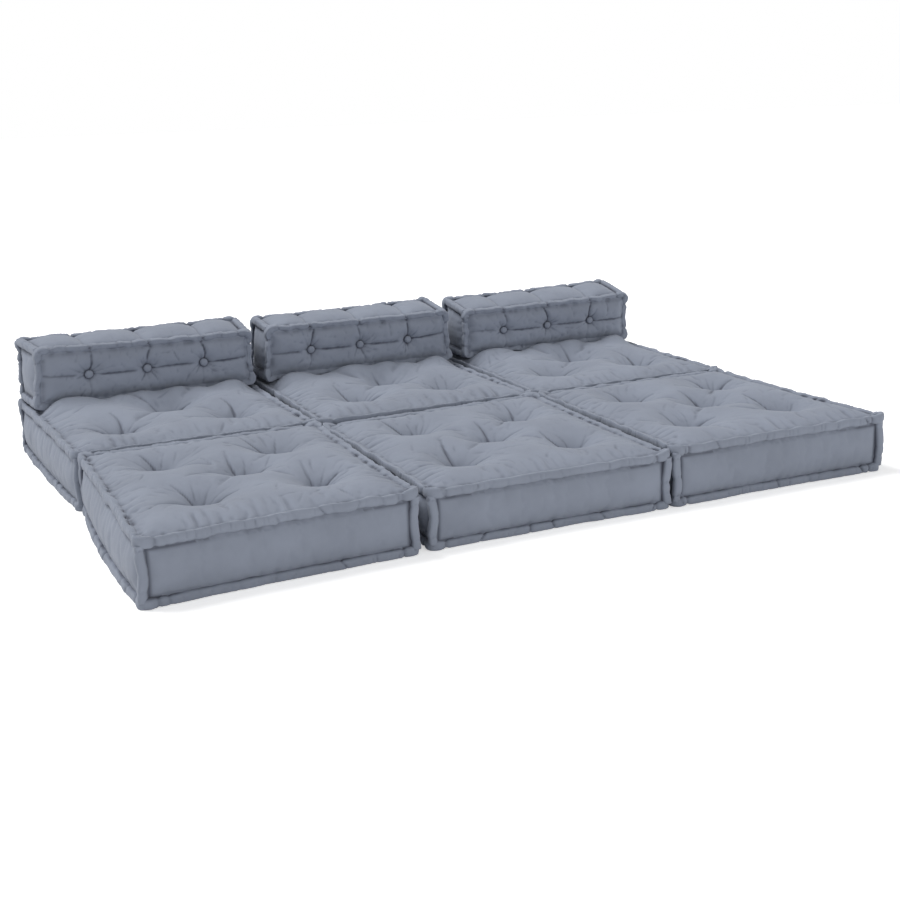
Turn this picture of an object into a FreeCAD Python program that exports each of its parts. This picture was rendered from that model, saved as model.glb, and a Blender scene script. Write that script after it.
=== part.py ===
# Modular floor sofa: six tufted seat cushions in two rows of three, and three back cushions
# standing on the rear row.  Lengths are in millimetres, X runs to the right, Y to the rear, Z up.
# The origin lies on the floor, in the middle of the whole set.
import FreeCAD, Part
import os
import Sketcher

DOC = FreeCAD.newDocument("modular_sofa")
SHEET = DOC.addObject("Spreadsheet::Sheet", "Sizes")

SIZES = {
    # outer sizes of one seat cushion and one back cushion, over the rolled edges
    "seat_width": 700,
    "seat_depth": 750,
    "seat_height": 165,
    "back_width": 668,
    "back_height": 184,
    "back_depth": 200,
    # free space between neighbouring seat cushions
    "module_gap": 12,
    # rolled edges and the upright rolls at the corners
    "roll_diameter": 28,
    "corner_roll_diameter": 20,
    # how far the middle of each side is drawn in
    "seat_side_draw": 6,
    "back_side_draw": 3,
    # cover cloth, and the space left between sewn or stuffed pieces
    "cloth_thickness": 1.5,
    "sewing_clearance": 0.5,
    "border_bulge": 7,
    # crown of the large panels: height over the rolled edge and width of the sloping rim
    "seat_crown": 12,
    "seat_crown_run": 110,
    "back_crown": 10,
    "back_crown_run": 42,
    # tufts of the seats: four on a rectangle and one in its middle
    "seat_tuft_span_x": 320,
    "seat_tuft_span_y": 310,
    "seat_tuft_radius": 108,
    "seat_tuft_depth": 34,
    "seat_under_tuft_radius": 60,
    "seat_under_tuft_depth": 15,
    "knot_diameter": 16,
    "knot_height": 5,
    "knot_edge": 2,
    # buttons of the backs: three in one row at half height
    "button_pitch": 175,
    "back_tuft_radius": 72,
    "back_tuft_depth": 20,
    "rear_tuft_radius": 46,
    "rear_tuft_depth": 12,
    "button_diameter": 26,
    "button_height": 10,
    "button_edge": 3.5,
    "twine_diameter": 3,
}

for row, (alias, value) in enumerate(SIZES.items(), start=1):
    SHEET.set(f"A{row}", alias)
    SHEET.set(f"B{row}", str(value))
    SHEET.setAlias(f"B{row}", alias)
DOC.recompute()


def size(alias):
    """Expression text for one cell of the sheet."""
    return f"Sizes.{alias}"


def number(expression):
    """Present value of an expression, used as the starting point of a sketch."""
    value = SHEET.evalExpression(expression)
    return float(getattr(value, "Value", value))


ROLL = f"({size('roll_diameter')} / 2)"
POST = f"({size('corner_roll_diameter')} / 2)"
CLOTH = size("cloth_thickness")
CLEAR = size("sewing_clearance")
LAYER = f"({CLOTH} + {CLEAR})"
BORE = f"({size('twine_diameter')} / 2 + {CLEAR})"

# outlines that a crown is lofted through, beside the one at its edge
CROWN_STEPS = 3

SEAT_X = f"({size('seat_tuft_span_x')} / 2)"
SEAT_Y = f"({size('seat_tuft_span_y')} / 2)"
PITCH = size("button_pitch")


class Kind:
    """Expressions for one kind of cushion, lying flat with its best face up."""

    def __init__(self, name, width, depth, height, crown, run, tuft, under, tie, spots):
        self.name = name
        self.width = size(width)
        self.depth = size(depth)
        self.height = size(height)
        self.rise = f"({size(crown)} + {ROLL})"
        self.run = size(run)
        self.draw = size(f"{name}_side_draw")
        self.tuft_radius = size(f"{tuft}_radius")
        self.tuft_depth = size(f"{tuft}_depth")
        self.under_radius = size(f"{under}_radius")
        self.under_depth = size(f"{under}_depth")
        self.tie_radius = f"({size(tie + '_diameter')} / 2)"
        self.tie_height = size(f"{tie}_height")
        self.tie_edge = size(f"{tie}_edge")
        self.top = f"({self.height} + {size(crown)})"
        self.half_x = f"({self.width} / 2 - {ROLL})"
        self.half_y = f"({self.depth} / 2 - {ROLL})"
        self.spots = spots


SEAT = Kind("seat", "seat_width", "seat_depth", "seat_height", "seat_crown", "seat_crown_run",
            "seat_tuft", "seat_under_tuft", "knot",
            [("0", "0"), (SEAT_X, SEAT_Y), (f"-{SEAT_X}", SEAT_Y),
             (SEAT_X, f"-{SEAT_Y}"), (f"-{SEAT_X}", f"-{SEAT_Y}")])
BACK = Kind("back", "back_width", "back_height", "back_depth", "back_crown", "back_crown_run",
            "back_tuft", "rear_tuft", "button",
            [("0", "0"), (PITCH, "0"), (f"-{PITCH}", "0")])

# quarter turns of the four sides: the side is drawn at the front and turned about Z
SIDES = {"front": 0, "right": 90, "rear": 180, "left": 270}


def arc_radius(cushion, half_chord):
    """Radius of the shallow arc that draws in a side of the given half length."""
    return f"(({half_chord} ^ 2 + {cushion.draw} ^ 2) / (2 * {cushion.draw}))"


def far_centre(cushion, half_chord, offset):
    """Distance from the middle of the cushion to the centre of a side's arc."""
    return f"({offset} - {cushion.draw} + {arc_radius(cushion, half_chord)})"


def drawn_in(cushion, half_chord, place):
    """How far a side is drawn in at a place along it, counted from the side's middle."""
    radius = arc_radius(cushion, half_chord)
    return f"({cushion.draw} - {radius} + sqrt({radius} ^ 2 - {place} ^ 2))"


def side_lengths(cushion, side):
    """Half length of a side and its distance from the middle, along the line of the rolled edges."""
    if SIDES[side] % 180 == 0:
        return cushion.half_x, cushion.half_y
    return cushion.half_y, cushion.half_x


def bind(item, **expressions):
    """Tie properties of an object to expressions; a double underscore stands for a dot."""
    for name, expression in expressions.items():
        item.setExpression(name.replace("__", "."), expression)


def new_body(name):
    return DOC.addObject("PartDesign::Body", name)


def new_sketch(body, name, role, **offsets):
    """Sketch on one of the body's own origin planes, moved by expressions."""
    sketch = body.newObject("Sketcher::SketchObject", name)
    plane = [f for f in body.Origin.OriginFeatures if f.Role == role][0]
    sketch.AttachmentSupport = [(plane, "")]
    sketch.MapMode = "FlatFace"
    for axis, expression in offsets.items():
        sketch.setExpression(f"AttachmentOffset.Base.{axis}", expression)
    return sketch


def fix_coordinate(sketch, kind, geometry, point, expression):
    """Hold one coordinate of a sketch point at the value of an expression."""
    value = number(expression)
    if abs(value) < 1e-9:
        axis = -2 if kind == "DistanceX" else -1
        sketch.addConstraint(Sketcher.Constraint("PointOnObject", geometry, point, axis))
        return
    if value > 0:
        constraint = Sketcher.Constraint(kind, -1, 1, geometry, point, value)
    else:
        constraint = Sketcher.Constraint(kind, geometry, point, -1, 1, -value)
        expression = f"-({expression})"
    index = sketch.addConstraint(constraint)
    sketch.setExpression(f"Constraints[{index}]", expression)


def outline(body, name, cushion, inset, level):
    """Closed outline of four shallow arcs, at an inset from the line of the rolled edges."""
    sketch = new_sketch(body, name, "XY_Plane", z=level)
    radius_x = f"({arc_radius(cushion, cushion.half_y)} + {inset})"
    radius_y = f"({arc_radius(cushion, cushion.half_x)} + {inset})"
    centre_x = far_centre(cushion, cushion.half_y, cushion.half_x)
    centre_y = far_centre(cushion, cushion.half_x, cushion.half_y)
    far_x = number(centre_x)
    far_y = number(centre_y)
    long_x = number(radius_x)
    long_y = number(radius_y)
    x = number(cushion.half_x) - number(inset)
    y = number(cushion.half_y) - number(inset)
    for _ in range(30):
        x = far_x - (long_x ** 2 - y ** 2) ** 0.5
        y = far_y - (long_y ** 2 - x ** 2) ** 0.5
    flat = FreeCAD.Vector
    corners = [flat(x, -y, 0), flat(x, y, 0), flat(-x, y, 0), flat(-x, -y, 0)]
    middles = [flat(far_x - long_x, 0, 0), flat(0, far_y - long_y, 0),
               flat(long_x - far_x, 0, 0), flat(0, long_y - far_y, 0)]
    for side in range(4):
        start = corners[side]
        end = corners[(side + 1) % 4]
        sketch.addGeometry(Part.Arc(start, middles[side], end))
    # the centre lies outside, so each arc runs against the order of the corners
    for side in range(4):
        sketch.addConstraint(Sketcher.Constraint("Coincident", side, 1, (side + 1) % 4, 2))
    centres = [(centre_x, "0"), ("0", centre_y), (f"-{centre_x}", "0"), ("0", f"-{centre_y}")]
    for side, (across, along) in enumerate(centres):
        fix_coordinate(sketch, "DistanceX", side, 3, across)
        fix_coordinate(sketch, "DistanceY", side, 3, along)
        radius = radius_x if side % 2 == 0 else radius_y
        index = sketch.addConstraint(Sketcher.Constraint("Radius", side, number(radius)))
        sketch.setExpression(f"Constraints[{index}]", radius)
    return sketch


def profile(sketch, corners, arcs=()):
    """Closed profile through corners given as expressions.

    An entry (edge, through, centre) of arcs turns that edge into an arc: through is a point on it,
    centre the expression for the sideways place of its centre.
    """
    points = [FreeCAD.Vector(number(x), number(y), 0) for x, y in corners]
    curved = {edge: (through, centre) for edge, through, centre in arcs}
    count = len(points)
    ends = []
    for edge in range(count):
        start = points[edge]
        end = points[(edge + 1) % count]
        if edge not in curved:
            sketch.addGeometry(Part.LineSegment(start, end))
            ends.append((1, 2))
            continue
        through = FreeCAD.Vector(number(curved[edge][0][0]), number(curved[edge][0][1]), 0)
        sketch.addGeometry(Part.Arc(start, through, end))
        starts_there = sketch.getPoint(edge, 1).distanceToPoint(start) < 1e-6
        ends.append((1, 2) if starts_there else (2, 1))
    for edge in range(count):
        following = (edge + 1) % count
        sketch.addConstraint(
            Sketcher.Constraint("Coincident", edge, ends[edge][1], following, ends[following][0]))
    for edge, (across, along) in enumerate(corners):
        fix_coordinate(sketch, "DistanceX", edge, ends[edge][0], across)
        fix_coordinate(sketch, "DistanceY", edge, ends[edge][0], along)
    for edge, (through, centre) in curved.items():
        fix_coordinate(sketch, "DistanceX", edge, 3, centre)


def loft(body, name, sections):
    feature = body.newObject("PartDesign::AdditiveLoft", name)
    feature.Profile = sections[0]
    feature.Sections = sections[1:]
    return feature


def crown(body, name, cushion, rise, run, level, downward=False):
    """Dome with a flat middle: four outlines, each further in and higher by a parabola."""
    sections = []
    sign = "-" if downward else "+"
    for step in range(CROWN_STEPS + 1):
        inset = f"({ROLL} + {CLEAR} + {run} * {step} / {CROWN_STEPS})"
        height = f"{level} {sign} {rise} * (1 - (1 - {step} / {CROWN_STEPS}) ^ 2)"
        sections.append(outline(body, f"{name}_outline_{step}", cushion, inset, height))
    DOC.recompute()
    return loft(body, name, sections)


def rim_height(level, radius, depth, neck, place):
    """Height of a tuft's arc at a place between its neck and its rim."""
    bend = f"((({radius} - {neck}) ^ 2 + {depth} ^ 2) / (2 * {depth}))"
    return f"({level} - {bend} + sqrt({bend} ^ 2 - ({radius} - {place}) ^ 2))"


def groove(body, name, spot, corners, arcs):
    """Turned cut about an upright axis through a tuft's place."""
    sketch = new_sketch(body, f"{name}_profile", "XZ_Plane", x=spot[0], z=f"-({spot[1]})")
    profile(sketch, corners, arcs)
    feature = body.newObject("PartDesign::Groove", name)
    feature.Profile = sketch
    feature.ReferenceAxis = (sketch, ["V_Axis"])
    feature.Angle = 360
    return feature


def panel(cushion, name, rise, radius, depth):
    """Large cover panel with its sewn tufts, drawn with the crown upwards."""
    skirt = f"({depth} + {CLOTH})"
    top = f"({skirt} + {rise})"
    neck = f"({cushion.tie_radius} + {CLEAR})"
    floor = f"({top} - {depth})"
    body = new_body(f"{name}_form")
    base = outline(body, f"{name}_edge", cushion, f"({ROLL} + {CLEAR})", "0")
    DOC.recompute()
    pad = body.newObject("PartDesign::Pad", f"{name}_skirt")
    pad.Profile = base
    bind(pad, Length=skirt)
    crown(body, f"{name}_crown", cushion, rise, cushion.run, skirt)
    DOC.recompute()
    middle = f"(({radius} + {neck}) / 2)"
    for index, spot in enumerate(cushion.spots):
        corners = [("0", "0"), (BORE, "0"), (BORE, floor), (neck, floor), (radius, top),
                   (radius, f"({top} + {rise})"), ("0", f"({top} + {rise})")]
        through = (middle, rim_height(top, radius, depth, neck, middle))
        groove(body, f"{name}_tuft_{index}", spot, corners, [(3, through, radius)])
        DOC.recompute()
    inside = DOC.addObject("Part::Compound", f"{name}_inside")
    inside.Links = [body]
    bind(inside, Placement__Base__z=f"-{CLOTH}")
    cloth = DOC.addObject("Part::Cut", name)
    cloth.Base = body
    cloth.Tool = inside
    return cloth, skirt


def fill(cushion, name):
    """Fibre filling: bulged block, shoulders behind the rolled edges, two crowns and the tufts."""
    body = new_body(name)
    low = f"({ROLL} * 2 + {CLEAR})"
    high = f"({cushion.height} - {ROLL} * 2 - {CLEAR})"
    wall = f"({CLOTH} / 2 + {CLEAR})"
    sections = []
    levels = [(low, wall), (f"{cushion.height} / 2", f"({wall} - {size('border_bulge')})"), (high, wall)]
    for step, (level, inset) in enumerate(levels):
        sections.append(outline(body, f"{name}_block_{step}", cushion, inset, level))
    DOC.recompute()
    loft(body, f"{name}_block", sections)
    DOC.recompute()
    shoulder = outline(body, f"{name}_shoulder_line", cushion, f"({ROLL} + {CLEAR})", f"({ROLL} + {LAYER})")
    DOC.recompute()
    pad = body.newObject("PartDesign::Pad", f"{name}_shoulder")
    pad.Profile = shoulder
    bind(pad, Length=f"{cushion.height} - 2 * ({ROLL} + {LAYER})")
    DOC.recompute()
    crown(body, f"{name}_crown", cushion, cushion.rise, cushion.run,
          f"({cushion.height} - {ROLL} - {LAYER})")
    DOC.recompute()
    crown(body, f"{name}_under_crown", cushion, ROLL, cushion.run, f"({ROLL} + {LAYER})", downward=True)
    DOC.recompute()
    corner_line = new_sketch(body, f"{name}_corner_line", "XY_Plane")
    for index, (side_x, side_y) in enumerate(((1, 1), (-1, 1), (-1, -1), (1, -1))):
        place_x = f"{side_x} * {cushion.half_x}"
        place_y = f"{side_y} * {cushion.half_y}"
        middle = FreeCAD.Vector(number(place_x), number(place_y), 0)
        corner_line.addGeometry(Part.Circle(middle, FreeCAD.Vector(0, 0, 1), number(f"{POST} + {CLEAR}")))
        fix_coordinate(corner_line, "DistanceX", index, 3, place_x)
        fix_coordinate(corner_line, "DistanceY", index, 3, place_y)
        hold = corner_line.addConstraint(Sketcher.Constraint("Radius", index, number(f"{POST} + {CLEAR}")))
        corner_line.setExpression(f"Constraints[{hold}]", f"{POST} + {CLEAR}")
    DOC.recompute()
    notch = body.newObject("PartDesign::Pocket", f"{name}_corner_notch")
    notch.Profile = corner_line
    notch.Type = "ThroughAll"
    notch.Reversed = True
    DOC.recompute()
    top = f"({cushion.top} - {LAYER})"
    neck = f"({cushion.tie_radius} + {CLEAR})"
    radius = cushion.tuft_radius
    depth = cushion.tuft_depth
    under = cushion.under_radius
    under_depth = cushion.under_depth
    middle = f"(({radius} + {neck}) / 2)"
    under_middle = f"(({under} + {neck}) / 2)"
    rise_under = rim_height("0", under, under_depth, neck, under_middle)
    for index, spot in enumerate(cushion.spots):
        corners = [("0", "0"), (under, "0"), (under, LAYER), (neck, f"({LAYER} + {under_depth})"),
                   (BORE, f"({LAYER} + {under_depth})"), (BORE, f"({top} - {depth})"),
                   (neck, f"({top} - {depth})"), (radius, top),
                   (radius, f"({top} + {cushion.rise})"), ("0", f"({top} + {cushion.rise})")]
        arcs = [(2, (under_middle, f"({LAYER} - {rise_under})"), under),
                (6, (middle, rim_height(top, radius, depth, neck, middle)), radius)]
        groove(body, f"{name}_tuft_{index}", spot, corners, arcs)
        DOC.recompute()
    return body


def border_strip(cushion, side):
    """One side strip between the rolls, bulged outwards and drawn in with its side."""
    turn = SIDES[side]
    half, offset = side_lengths(cushion, side)
    far = far_centre(cushion, half, offset)
    radius = arc_radius(cushion, half)
    name = f"{cushion.name}_{side}_strip"
    low = f"({ROLL} * 2 + {CLEAR})"
    high = f"({cushion.height} - {ROLL} * 2 - {CLEAR})"
    middle = f"({cushion.height} / 2)"
    bulge = size("border_bulge")
    half_height = f"(({high} - {low}) / 2)"
    bend = f"(({half_height} ^ 2 + {bulge} ^ 2) / (2 * {bulge}))"
    outer = f"({radius} - {CLOTH} / 2)"
    inner = f"({radius} + {CLOTH} / 2)"
    body = new_body(name)
    sketch = new_sketch(body, f"{name}_section", "YZ_Plane")
    corners = [(inner, low), (inner, high), (outer, high), (outer, low)]
    arcs = [(0, (f"({inner} - {bulge})", middle), f"({inner} - {bulge} + {bend})"),
            (2, (f"({outer} - {bulge})", middle), f"({outer} - {bulge} + {bend})")]
    profile(sketch, corners, arcs)
    DOC.recompute()
    sweep = body.newObject("PartDesign::Revolution", f"{name}_sweep")
    sweep.Profile = sketch
    sweep.ReferenceAxis = (sketch, ["V_Axis"])
    sweep.Midplane = True
    bind(sweep, Angle=f"2 * asin(({half} - {POST} - {CLEAR}) / {radius})")
    body.Placement = FreeCAD.Placement(FreeCAD.Vector(), FreeCAD.Rotation(FreeCAD.Vector(0, 0, 1), turn))
    place_x = {0: "0", 90: far, 180: "0", 270: f"-{far}"}[turn]
    place_y = {0: f"-{far}", 90: "0", 180: far, 270: "0"}[turn]
    bind(body, Placement__Base__x=place_x, Placement__Base__y=place_y)
    return body


def roll_bar(cushion, side, level, height):
    """One rolled edge: a long shallow ring, cut to a mitre at both corners."""
    turn = SIDES[side]
    half, offset = side_lengths(cushion, side)
    name = f"{cushion.name}_{side}_{level}_roll"
    ring = DOC.addObject("Part::Torus", f"{name}_ring")
    bind(ring, Radius1=arc_radius(cushion, half), Radius2=ROLL,
         Placement__Base__y=f"-{far_centre(cushion, half, offset)}", Placement__Base__z=height)
    mitre = DOC.addObject("Part::Wedge", f"{name}_mitre")
    inward = f"(2 * {ROLL} + 2 * {cushion.draw})"
    reach = f"({half} + {ROLL} - {CLEAR})"
    bind(mitre, Xmin=f"-{reach}", Xmax=reach, X2min=f"{inward} - {reach}", X2max=f"{reach} - {inward}",
         Ymin=f"-({offset} + {ROLL})", Ymax=f"{inward} - ({offset} + {ROLL})",
         Zmin=f"{height} - 2 * {ROLL}", Zmax=f"{height} + 2 * {ROLL}",
         Z2min=f"{height} - 2 * {ROLL}", Z2max=f"{height} + 2 * {ROLL}")
    bar = DOC.addObject("Part::MultiCommon", name)
    bar.Shapes = [ring, mitre]
    bar.Placement = FreeCAD.Placement(FreeCAD.Vector(), FreeCAD.Rotation(FreeCAD.Vector(0, 0, 1), turn))
    return bar


def corner_roll(cushion, index, side_x, side_y):
    """Upright roll between the upper and the lower rolled edge at one corner."""
    post = DOC.addObject("Part::Cylinder", f"{cushion.name}_corner_roll_{index}")
    bind(post, Radius=POST, Height=f"{cushion.height} - 4 * {ROLL} - 2 * {CLEAR}",
         Placement__Base__x=f"{side_x} * {cushion.half_x}", Placement__Base__y=f"{side_y} * {cushion.half_y}",
         Placement__Base__z=f"2 * {ROLL} + {CLEAR}")
    return post


def turned(name, spot, corners, arcs=()):
    """Turned piece about an upright axis through a tuft's place."""
    body = new_body(name)
    sketch = new_sketch(body, f"{name}_profile", "XZ_Plane")
    profile(sketch, corners, arcs)
    DOC.recompute()
    feature = body.newObject("PartDesign::Revolution", f"{name}_turn")
    feature.Profile = sketch
    feature.ReferenceAxis = (sketch, ["V_Axis"])
    feature.Angle = 360
    bind(body, Placement__Base__x=spot[0], Placement__Base__y=spot[1])
    return body


def ties(cushion):
    """Twines with a knot or button at both ends, as a list of twines and a list of ends."""
    twine = f"({size('twine_diameter')} / 2)"
    low = f"({cushion.under_depth} - {CLEAR})"
    high = f"({cushion.top} - {cushion.tuft_depth} + {CLEAR})"
    radius = cushion.tie_radius
    height = cushion.tie_height
    edge = cushion.tie_edge
    dome = f"({height} - {edge})"
    bend = f"(({radius} ^ 2 + {dome} ^ 2) / (2 * {dome}))"
    half = f"({radius} / 2)"
    swell = f"(sqrt({bend} ^ 2 - {half} ^ 2) - {bend} + {dome})"
    twines = []
    ends = []
    for index, spot in enumerate(cushion.spots):
        name = f"{cushion.name}_tie_{index}"
        twines.append(turned(f"{name}_twine", spot,
                             [("0", low), (twine, low), (twine, high), ("0", high)]))
        ends.append(turned(f"{name}_upper", spot,
                           [("0", high), (radius, high), (radius, f"({high} + {edge})"),
                            ("0", f"({high} + {height})")],
                           [(2, (half, f"({high} + {edge} + {swell})"), "0")]))
        ends.append(turned(f"{name}_lower", spot,
                           [("0", f"({low} - {height})"), (radius, f"({low} - {edge})"),
                            (radius, low), ("0", low)],
                           [(0, (half, f"({low} - {edge} - {swell})"), "0")]))
    return twines, ends


def cushion_pieces(cushion):
    """All pieces of one kind of cushion, lying at the origin, as lists of objects."""
    upper, upper_skirt = panel(cushion, f"{cushion.name}_upper_panel", cushion.rise,
                               cushion.tuft_radius, cushion.tuft_depth)
    bind(upper, Placement__Base__z=f"{cushion.height} - {ROLL} - {upper_skirt}")
    lower, lower_skirt = panel(cushion, f"{cushion.name}_lower_panel", ROLL,
                               cushion.under_radius, cushion.under_depth)
    lower.Placement = FreeCAD.Placement(FreeCAD.Vector(), FreeCAD.Rotation(FreeCAD.Vector(1, 0, 0), 180))
    bind(lower, Placement__Base__z=f"{ROLL} + {lower_skirt}")
    rolls = []
    for side in SIDES:
        rolls.append(roll_bar(cushion, side, "upper", f"({cushion.height} - {ROLL})"))
        rolls.append(roll_bar(cushion, side, "lower", ROLL))
    for index, (side_x, side_y) in enumerate(((1, 1), (-1, 1), (-1, -1), (1, -1))):
        rolls.append(corner_roll(cushion, index, side_x, side_y))
    twines, ends = ties(cushion)
    return {"upper": [upper], "lower": [lower], "fill": [fill(cushion, f"{cushion.name}_fill")],
            "border": [border_strip(cushion, side) for side in SIDES],
            "rolled_edges": rolls, "twines": twines, "ends": ends}


def node(name, pieces, rotation, place_x, place_y, place_z):
    """One named sub-part of the set: the given pieces, put in their place."""
    group = DOC.addObject("Part::Compound", name)
    group.Label = name
    group.Links = pieces
    group.Placement = FreeCAD.Placement(FreeCAD.Vector(), rotation)
    bind(group, Placement__Base__x=place_x, Placement__Base__y=place_y, Placement__Base__z=place_z)
    return group


seat = cushion_pieces(SEAT)
back = cushion_pieces(BACK)
DOC.recompute()

nodes = []
COLUMNS = {"left": -1, "centre": 0, "right": 1}
ROWS = {"front": -1, "rear": 1}
LYING = FreeCAD.Rotation()
STANDING = FreeCAD.Rotation(FreeCAD.Vector(1, 0, 0), 90)

for column, step_x in COLUMNS.items():
    place_x = f"{step_x} * ({size('seat_width')} + {size('module_gap')})"
    for row, step_y in ROWS.items():
        place_y = f"{step_y} * ({size('seat_depth')} + {size('module_gap')}) / 2"
        seat_nodes = {"top_panel": seat["upper"], "bottom_panel": seat["lower"], "fill": seat["fill"],
                      "border": seat["border"], "rolled_edges": seat["rolled_edges"],
                      "tuft_ties": seat["twines"] + seat["ends"]}
        for piece, solids in seat_nodes.items():
            nodes.append(node(f"{row}_{column}_{piece}", solids, LYING, place_x, place_y, "0"))
    # the back stands upright on the crown of the rear seat, flush with that seat's rear; its lower
    # edge is drawn up, so it meets the seat where the flat between the tufts ends
    rear_face = f"{size('seat_depth')} + {size('module_gap')} / 2"
    flat_end = f"({SEAT_X} - {SEAT.tuft_radius})"
    sunk = drawn_in(BACK, BACK.half_x, flat_end)
    middle_height = f"{SEAT.top} + {CLEAR} - {sunk} + {size('back_height')} / 2"
    back_nodes = {"front_panel": back["upper"], "rear_panel": back["lower"], "fill": back["fill"],
                  "border": back["border"], "rolled_edges": back["rolled_edges"],
                  "tuft_twines": back["twines"], "buttons": back["ends"]}
    for piece, solids in back_nodes.items():
        nodes.append(node(f"back_{column}_{piece}", solids, STANDING, place_x, rear_face, middle_height))

DOC.recompute()

for item in DOC.Objects:
    if "Invalid" in item.State or "Error" in item.State:
        raise RuntimeError(f"{item.Name} is in state {item.State}")

os.makedirs("parts", exist_ok=True)
for item in nodes:
    if item.Shape.isNull() or not item.Shape.isValid():
        raise RuntimeError(f"{item.Label} has no valid shape")
    for solid in item.Shape.Solids:
        if solid.Volume <= 0:
            raise RuntimeError(f"{item.Label} holds an empty solid")
    item.Shape.exportStep(f"parts/{item.Label}.step")
    print(item.Label, len(item.Shape.Solids), round(item.Shape.Volume / 1000, 1), "cm3")
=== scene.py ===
import math

import bpy
import numpy as np
from bpy.props import FloatProperty, FloatVectorProperty, IntProperty, PointerProperty
from mathutils import Matrix, Vector


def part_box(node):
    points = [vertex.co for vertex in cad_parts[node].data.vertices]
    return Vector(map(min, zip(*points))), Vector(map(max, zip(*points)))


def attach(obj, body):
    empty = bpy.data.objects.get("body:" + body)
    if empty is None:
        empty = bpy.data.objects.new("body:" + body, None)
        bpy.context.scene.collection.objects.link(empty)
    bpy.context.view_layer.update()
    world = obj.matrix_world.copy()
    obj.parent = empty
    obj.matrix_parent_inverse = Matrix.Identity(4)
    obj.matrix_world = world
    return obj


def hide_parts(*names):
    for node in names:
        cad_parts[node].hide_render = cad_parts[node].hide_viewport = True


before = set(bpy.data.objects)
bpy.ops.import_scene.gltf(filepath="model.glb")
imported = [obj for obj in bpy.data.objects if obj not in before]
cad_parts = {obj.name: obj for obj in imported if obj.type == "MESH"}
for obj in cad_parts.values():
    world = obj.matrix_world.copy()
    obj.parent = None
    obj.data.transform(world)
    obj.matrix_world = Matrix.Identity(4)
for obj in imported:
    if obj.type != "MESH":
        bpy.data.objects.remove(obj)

bl_info = {
    "name": "Tufted Floor Sofa",
    "version": (1, 0, 0),
    "blender": (4, 5, 0),
    "location": "View3D > Sidebar > Floor Sofa",
    "description": "Dresses a modular floor sofa with stuffed, tufted and rolled-edge cushions",
    "category": "Object",
}

COLUMNS = ("left", "centre", "right")
SEATS = [f"{row}_{column}" for row in ("front", "rear") for column in COLUMNS]
BACKS = [f"back_{column}" for column in COLUMNS]

# Starting numbers of the chance that each kind of handwork is drawn from.
SEEDS = {
    "cloth": 0,
    "stitches": 30,
    "seat folds": 40,
    "back folds": 70,
    "border": 90,
    "rolls": 200,
    "buttons": 300,
    "ties": 400,
    "tufts": 500,
    "wrinkles": 600,
    "painted seam shade": 700,
}

# A seat's tufts: half the length of the knots, how far they stand to the right of true and stray from it, how
# far the front, middle and rear ones stand back from true, and how deep the two under a back are drawn.
KNOT_RADIUS = 0.008
TUFT_SHIFT = 0.012
TUFT_STRAY = (0.015, 0.012)
FRONT_TUFT_SHIFT = 0.01
MIDDLE_TUFT_SHIFT = 0.02
REAR_TUFT_SHIFT = 0.022
HIDDEN_TUFT_SHIFT = 0.045
HIDDEN_TUFT_DRAWN = 0.45


class Cushion:
    """One cushion lying flat with its best face up: sizes and place read from the frame.

    A back is described lying too; its place turns that best face to the front.
    """

    def __init__(self, body):
        self.body = body
        self.is_back = body in BACKS
        self.seed = (SEATS + BACKS).index(body) + 1
        low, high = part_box(f"{body}_rolled_edges")
        size = high - low
        middle = (low + high) / 2
        self.half_x = size.x / 2
        if self.is_back:
            self.half_y = size.z / 2
            self.height = size.y
            self.place = (Matrix.Translation((middle.x, high.y, middle.z))
                          @ Matrix.Rotation(math.radians(90), 4, "X"))
            panel_low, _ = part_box(f"{body}_front_panel")
            tie_low, tie_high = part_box(f"{body}_buttons")
            self.crown = high.y - panel_low.y
            self.tie_radius = (tie_high.z - tie_low.z) / 2
            reach = (tie_high.x - tie_low.x) / 2 - self.tie_radius
            self.tufts = [(-reach, 0.0), (0.0, 0.0), (reach, 0.0)]
            self.drawn = [1.0] * 3
        else:
            self.half_y = size.y / 2
            self.height = size.z
            self.place = Matrix.Translation((middle.x, middle.y, low.z))
            _, panel_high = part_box(f"{body}_top_panel")
            tie_low, tie_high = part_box(f"{body}_tuft_ties")
            self.crown = panel_high.z
            self.tie_radius = KNOT_RADIUS
            reach_x = (tie_high.x - tie_low.x) / 2 - self.tie_radius
            reach_y = (tie_high.y - tie_low.y) / 2 - self.tie_radius
            chance = self.chance("tufts")
            under_back = body.startswith("rear")
            front_y = FRONT_TUFT_SHIFT - reach_y
            rear_y = reach_y + (HIDDEN_TUFT_SHIFT if under_back else REAR_TUFT_SHIFT)
            places = ((-reach_x, front_y), (reach_x, front_y), (0.0, MIDDLE_TUFT_SHIFT),
                      (-reach_x, rear_y), (reach_x, rear_y))
            stray_x, stray_y = TUFT_STRAY
            self.tufts = [(x + TUFT_SHIFT + chance.uniform(-stray_x, stray_x),
                           y + chance.uniform(-stray_y, stray_y)) for x, y in places]
            self.drawn = [1.0] * 3 + [HIDDEN_TUFT_DRAWN if under_back else 1.0] * 2
        self.around = 4 * (self.half_x + self.half_y)

    def from_side(self, x, y):
        """How far places lie in from the nearest side."""
        return np.minimum(self.half_x - abs(x), self.half_y - abs(y))

    def from_corner(self, x, y):
        """How far places near the outline lie from the nearest corner."""
        return np.maximum(self.half_x - abs(x), self.half_y - abs(y))

    def chance(self, kind):
        """Chance that one kind of this cushion's handwork is drawn from."""
        return np.random.default_rng(SEEDS[kind] + self.seed)

    def cad(self, *pieces):
        """Names of solids of this cushion."""
        return [f"{self.body}_{piece}" for piece in pieces]


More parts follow.
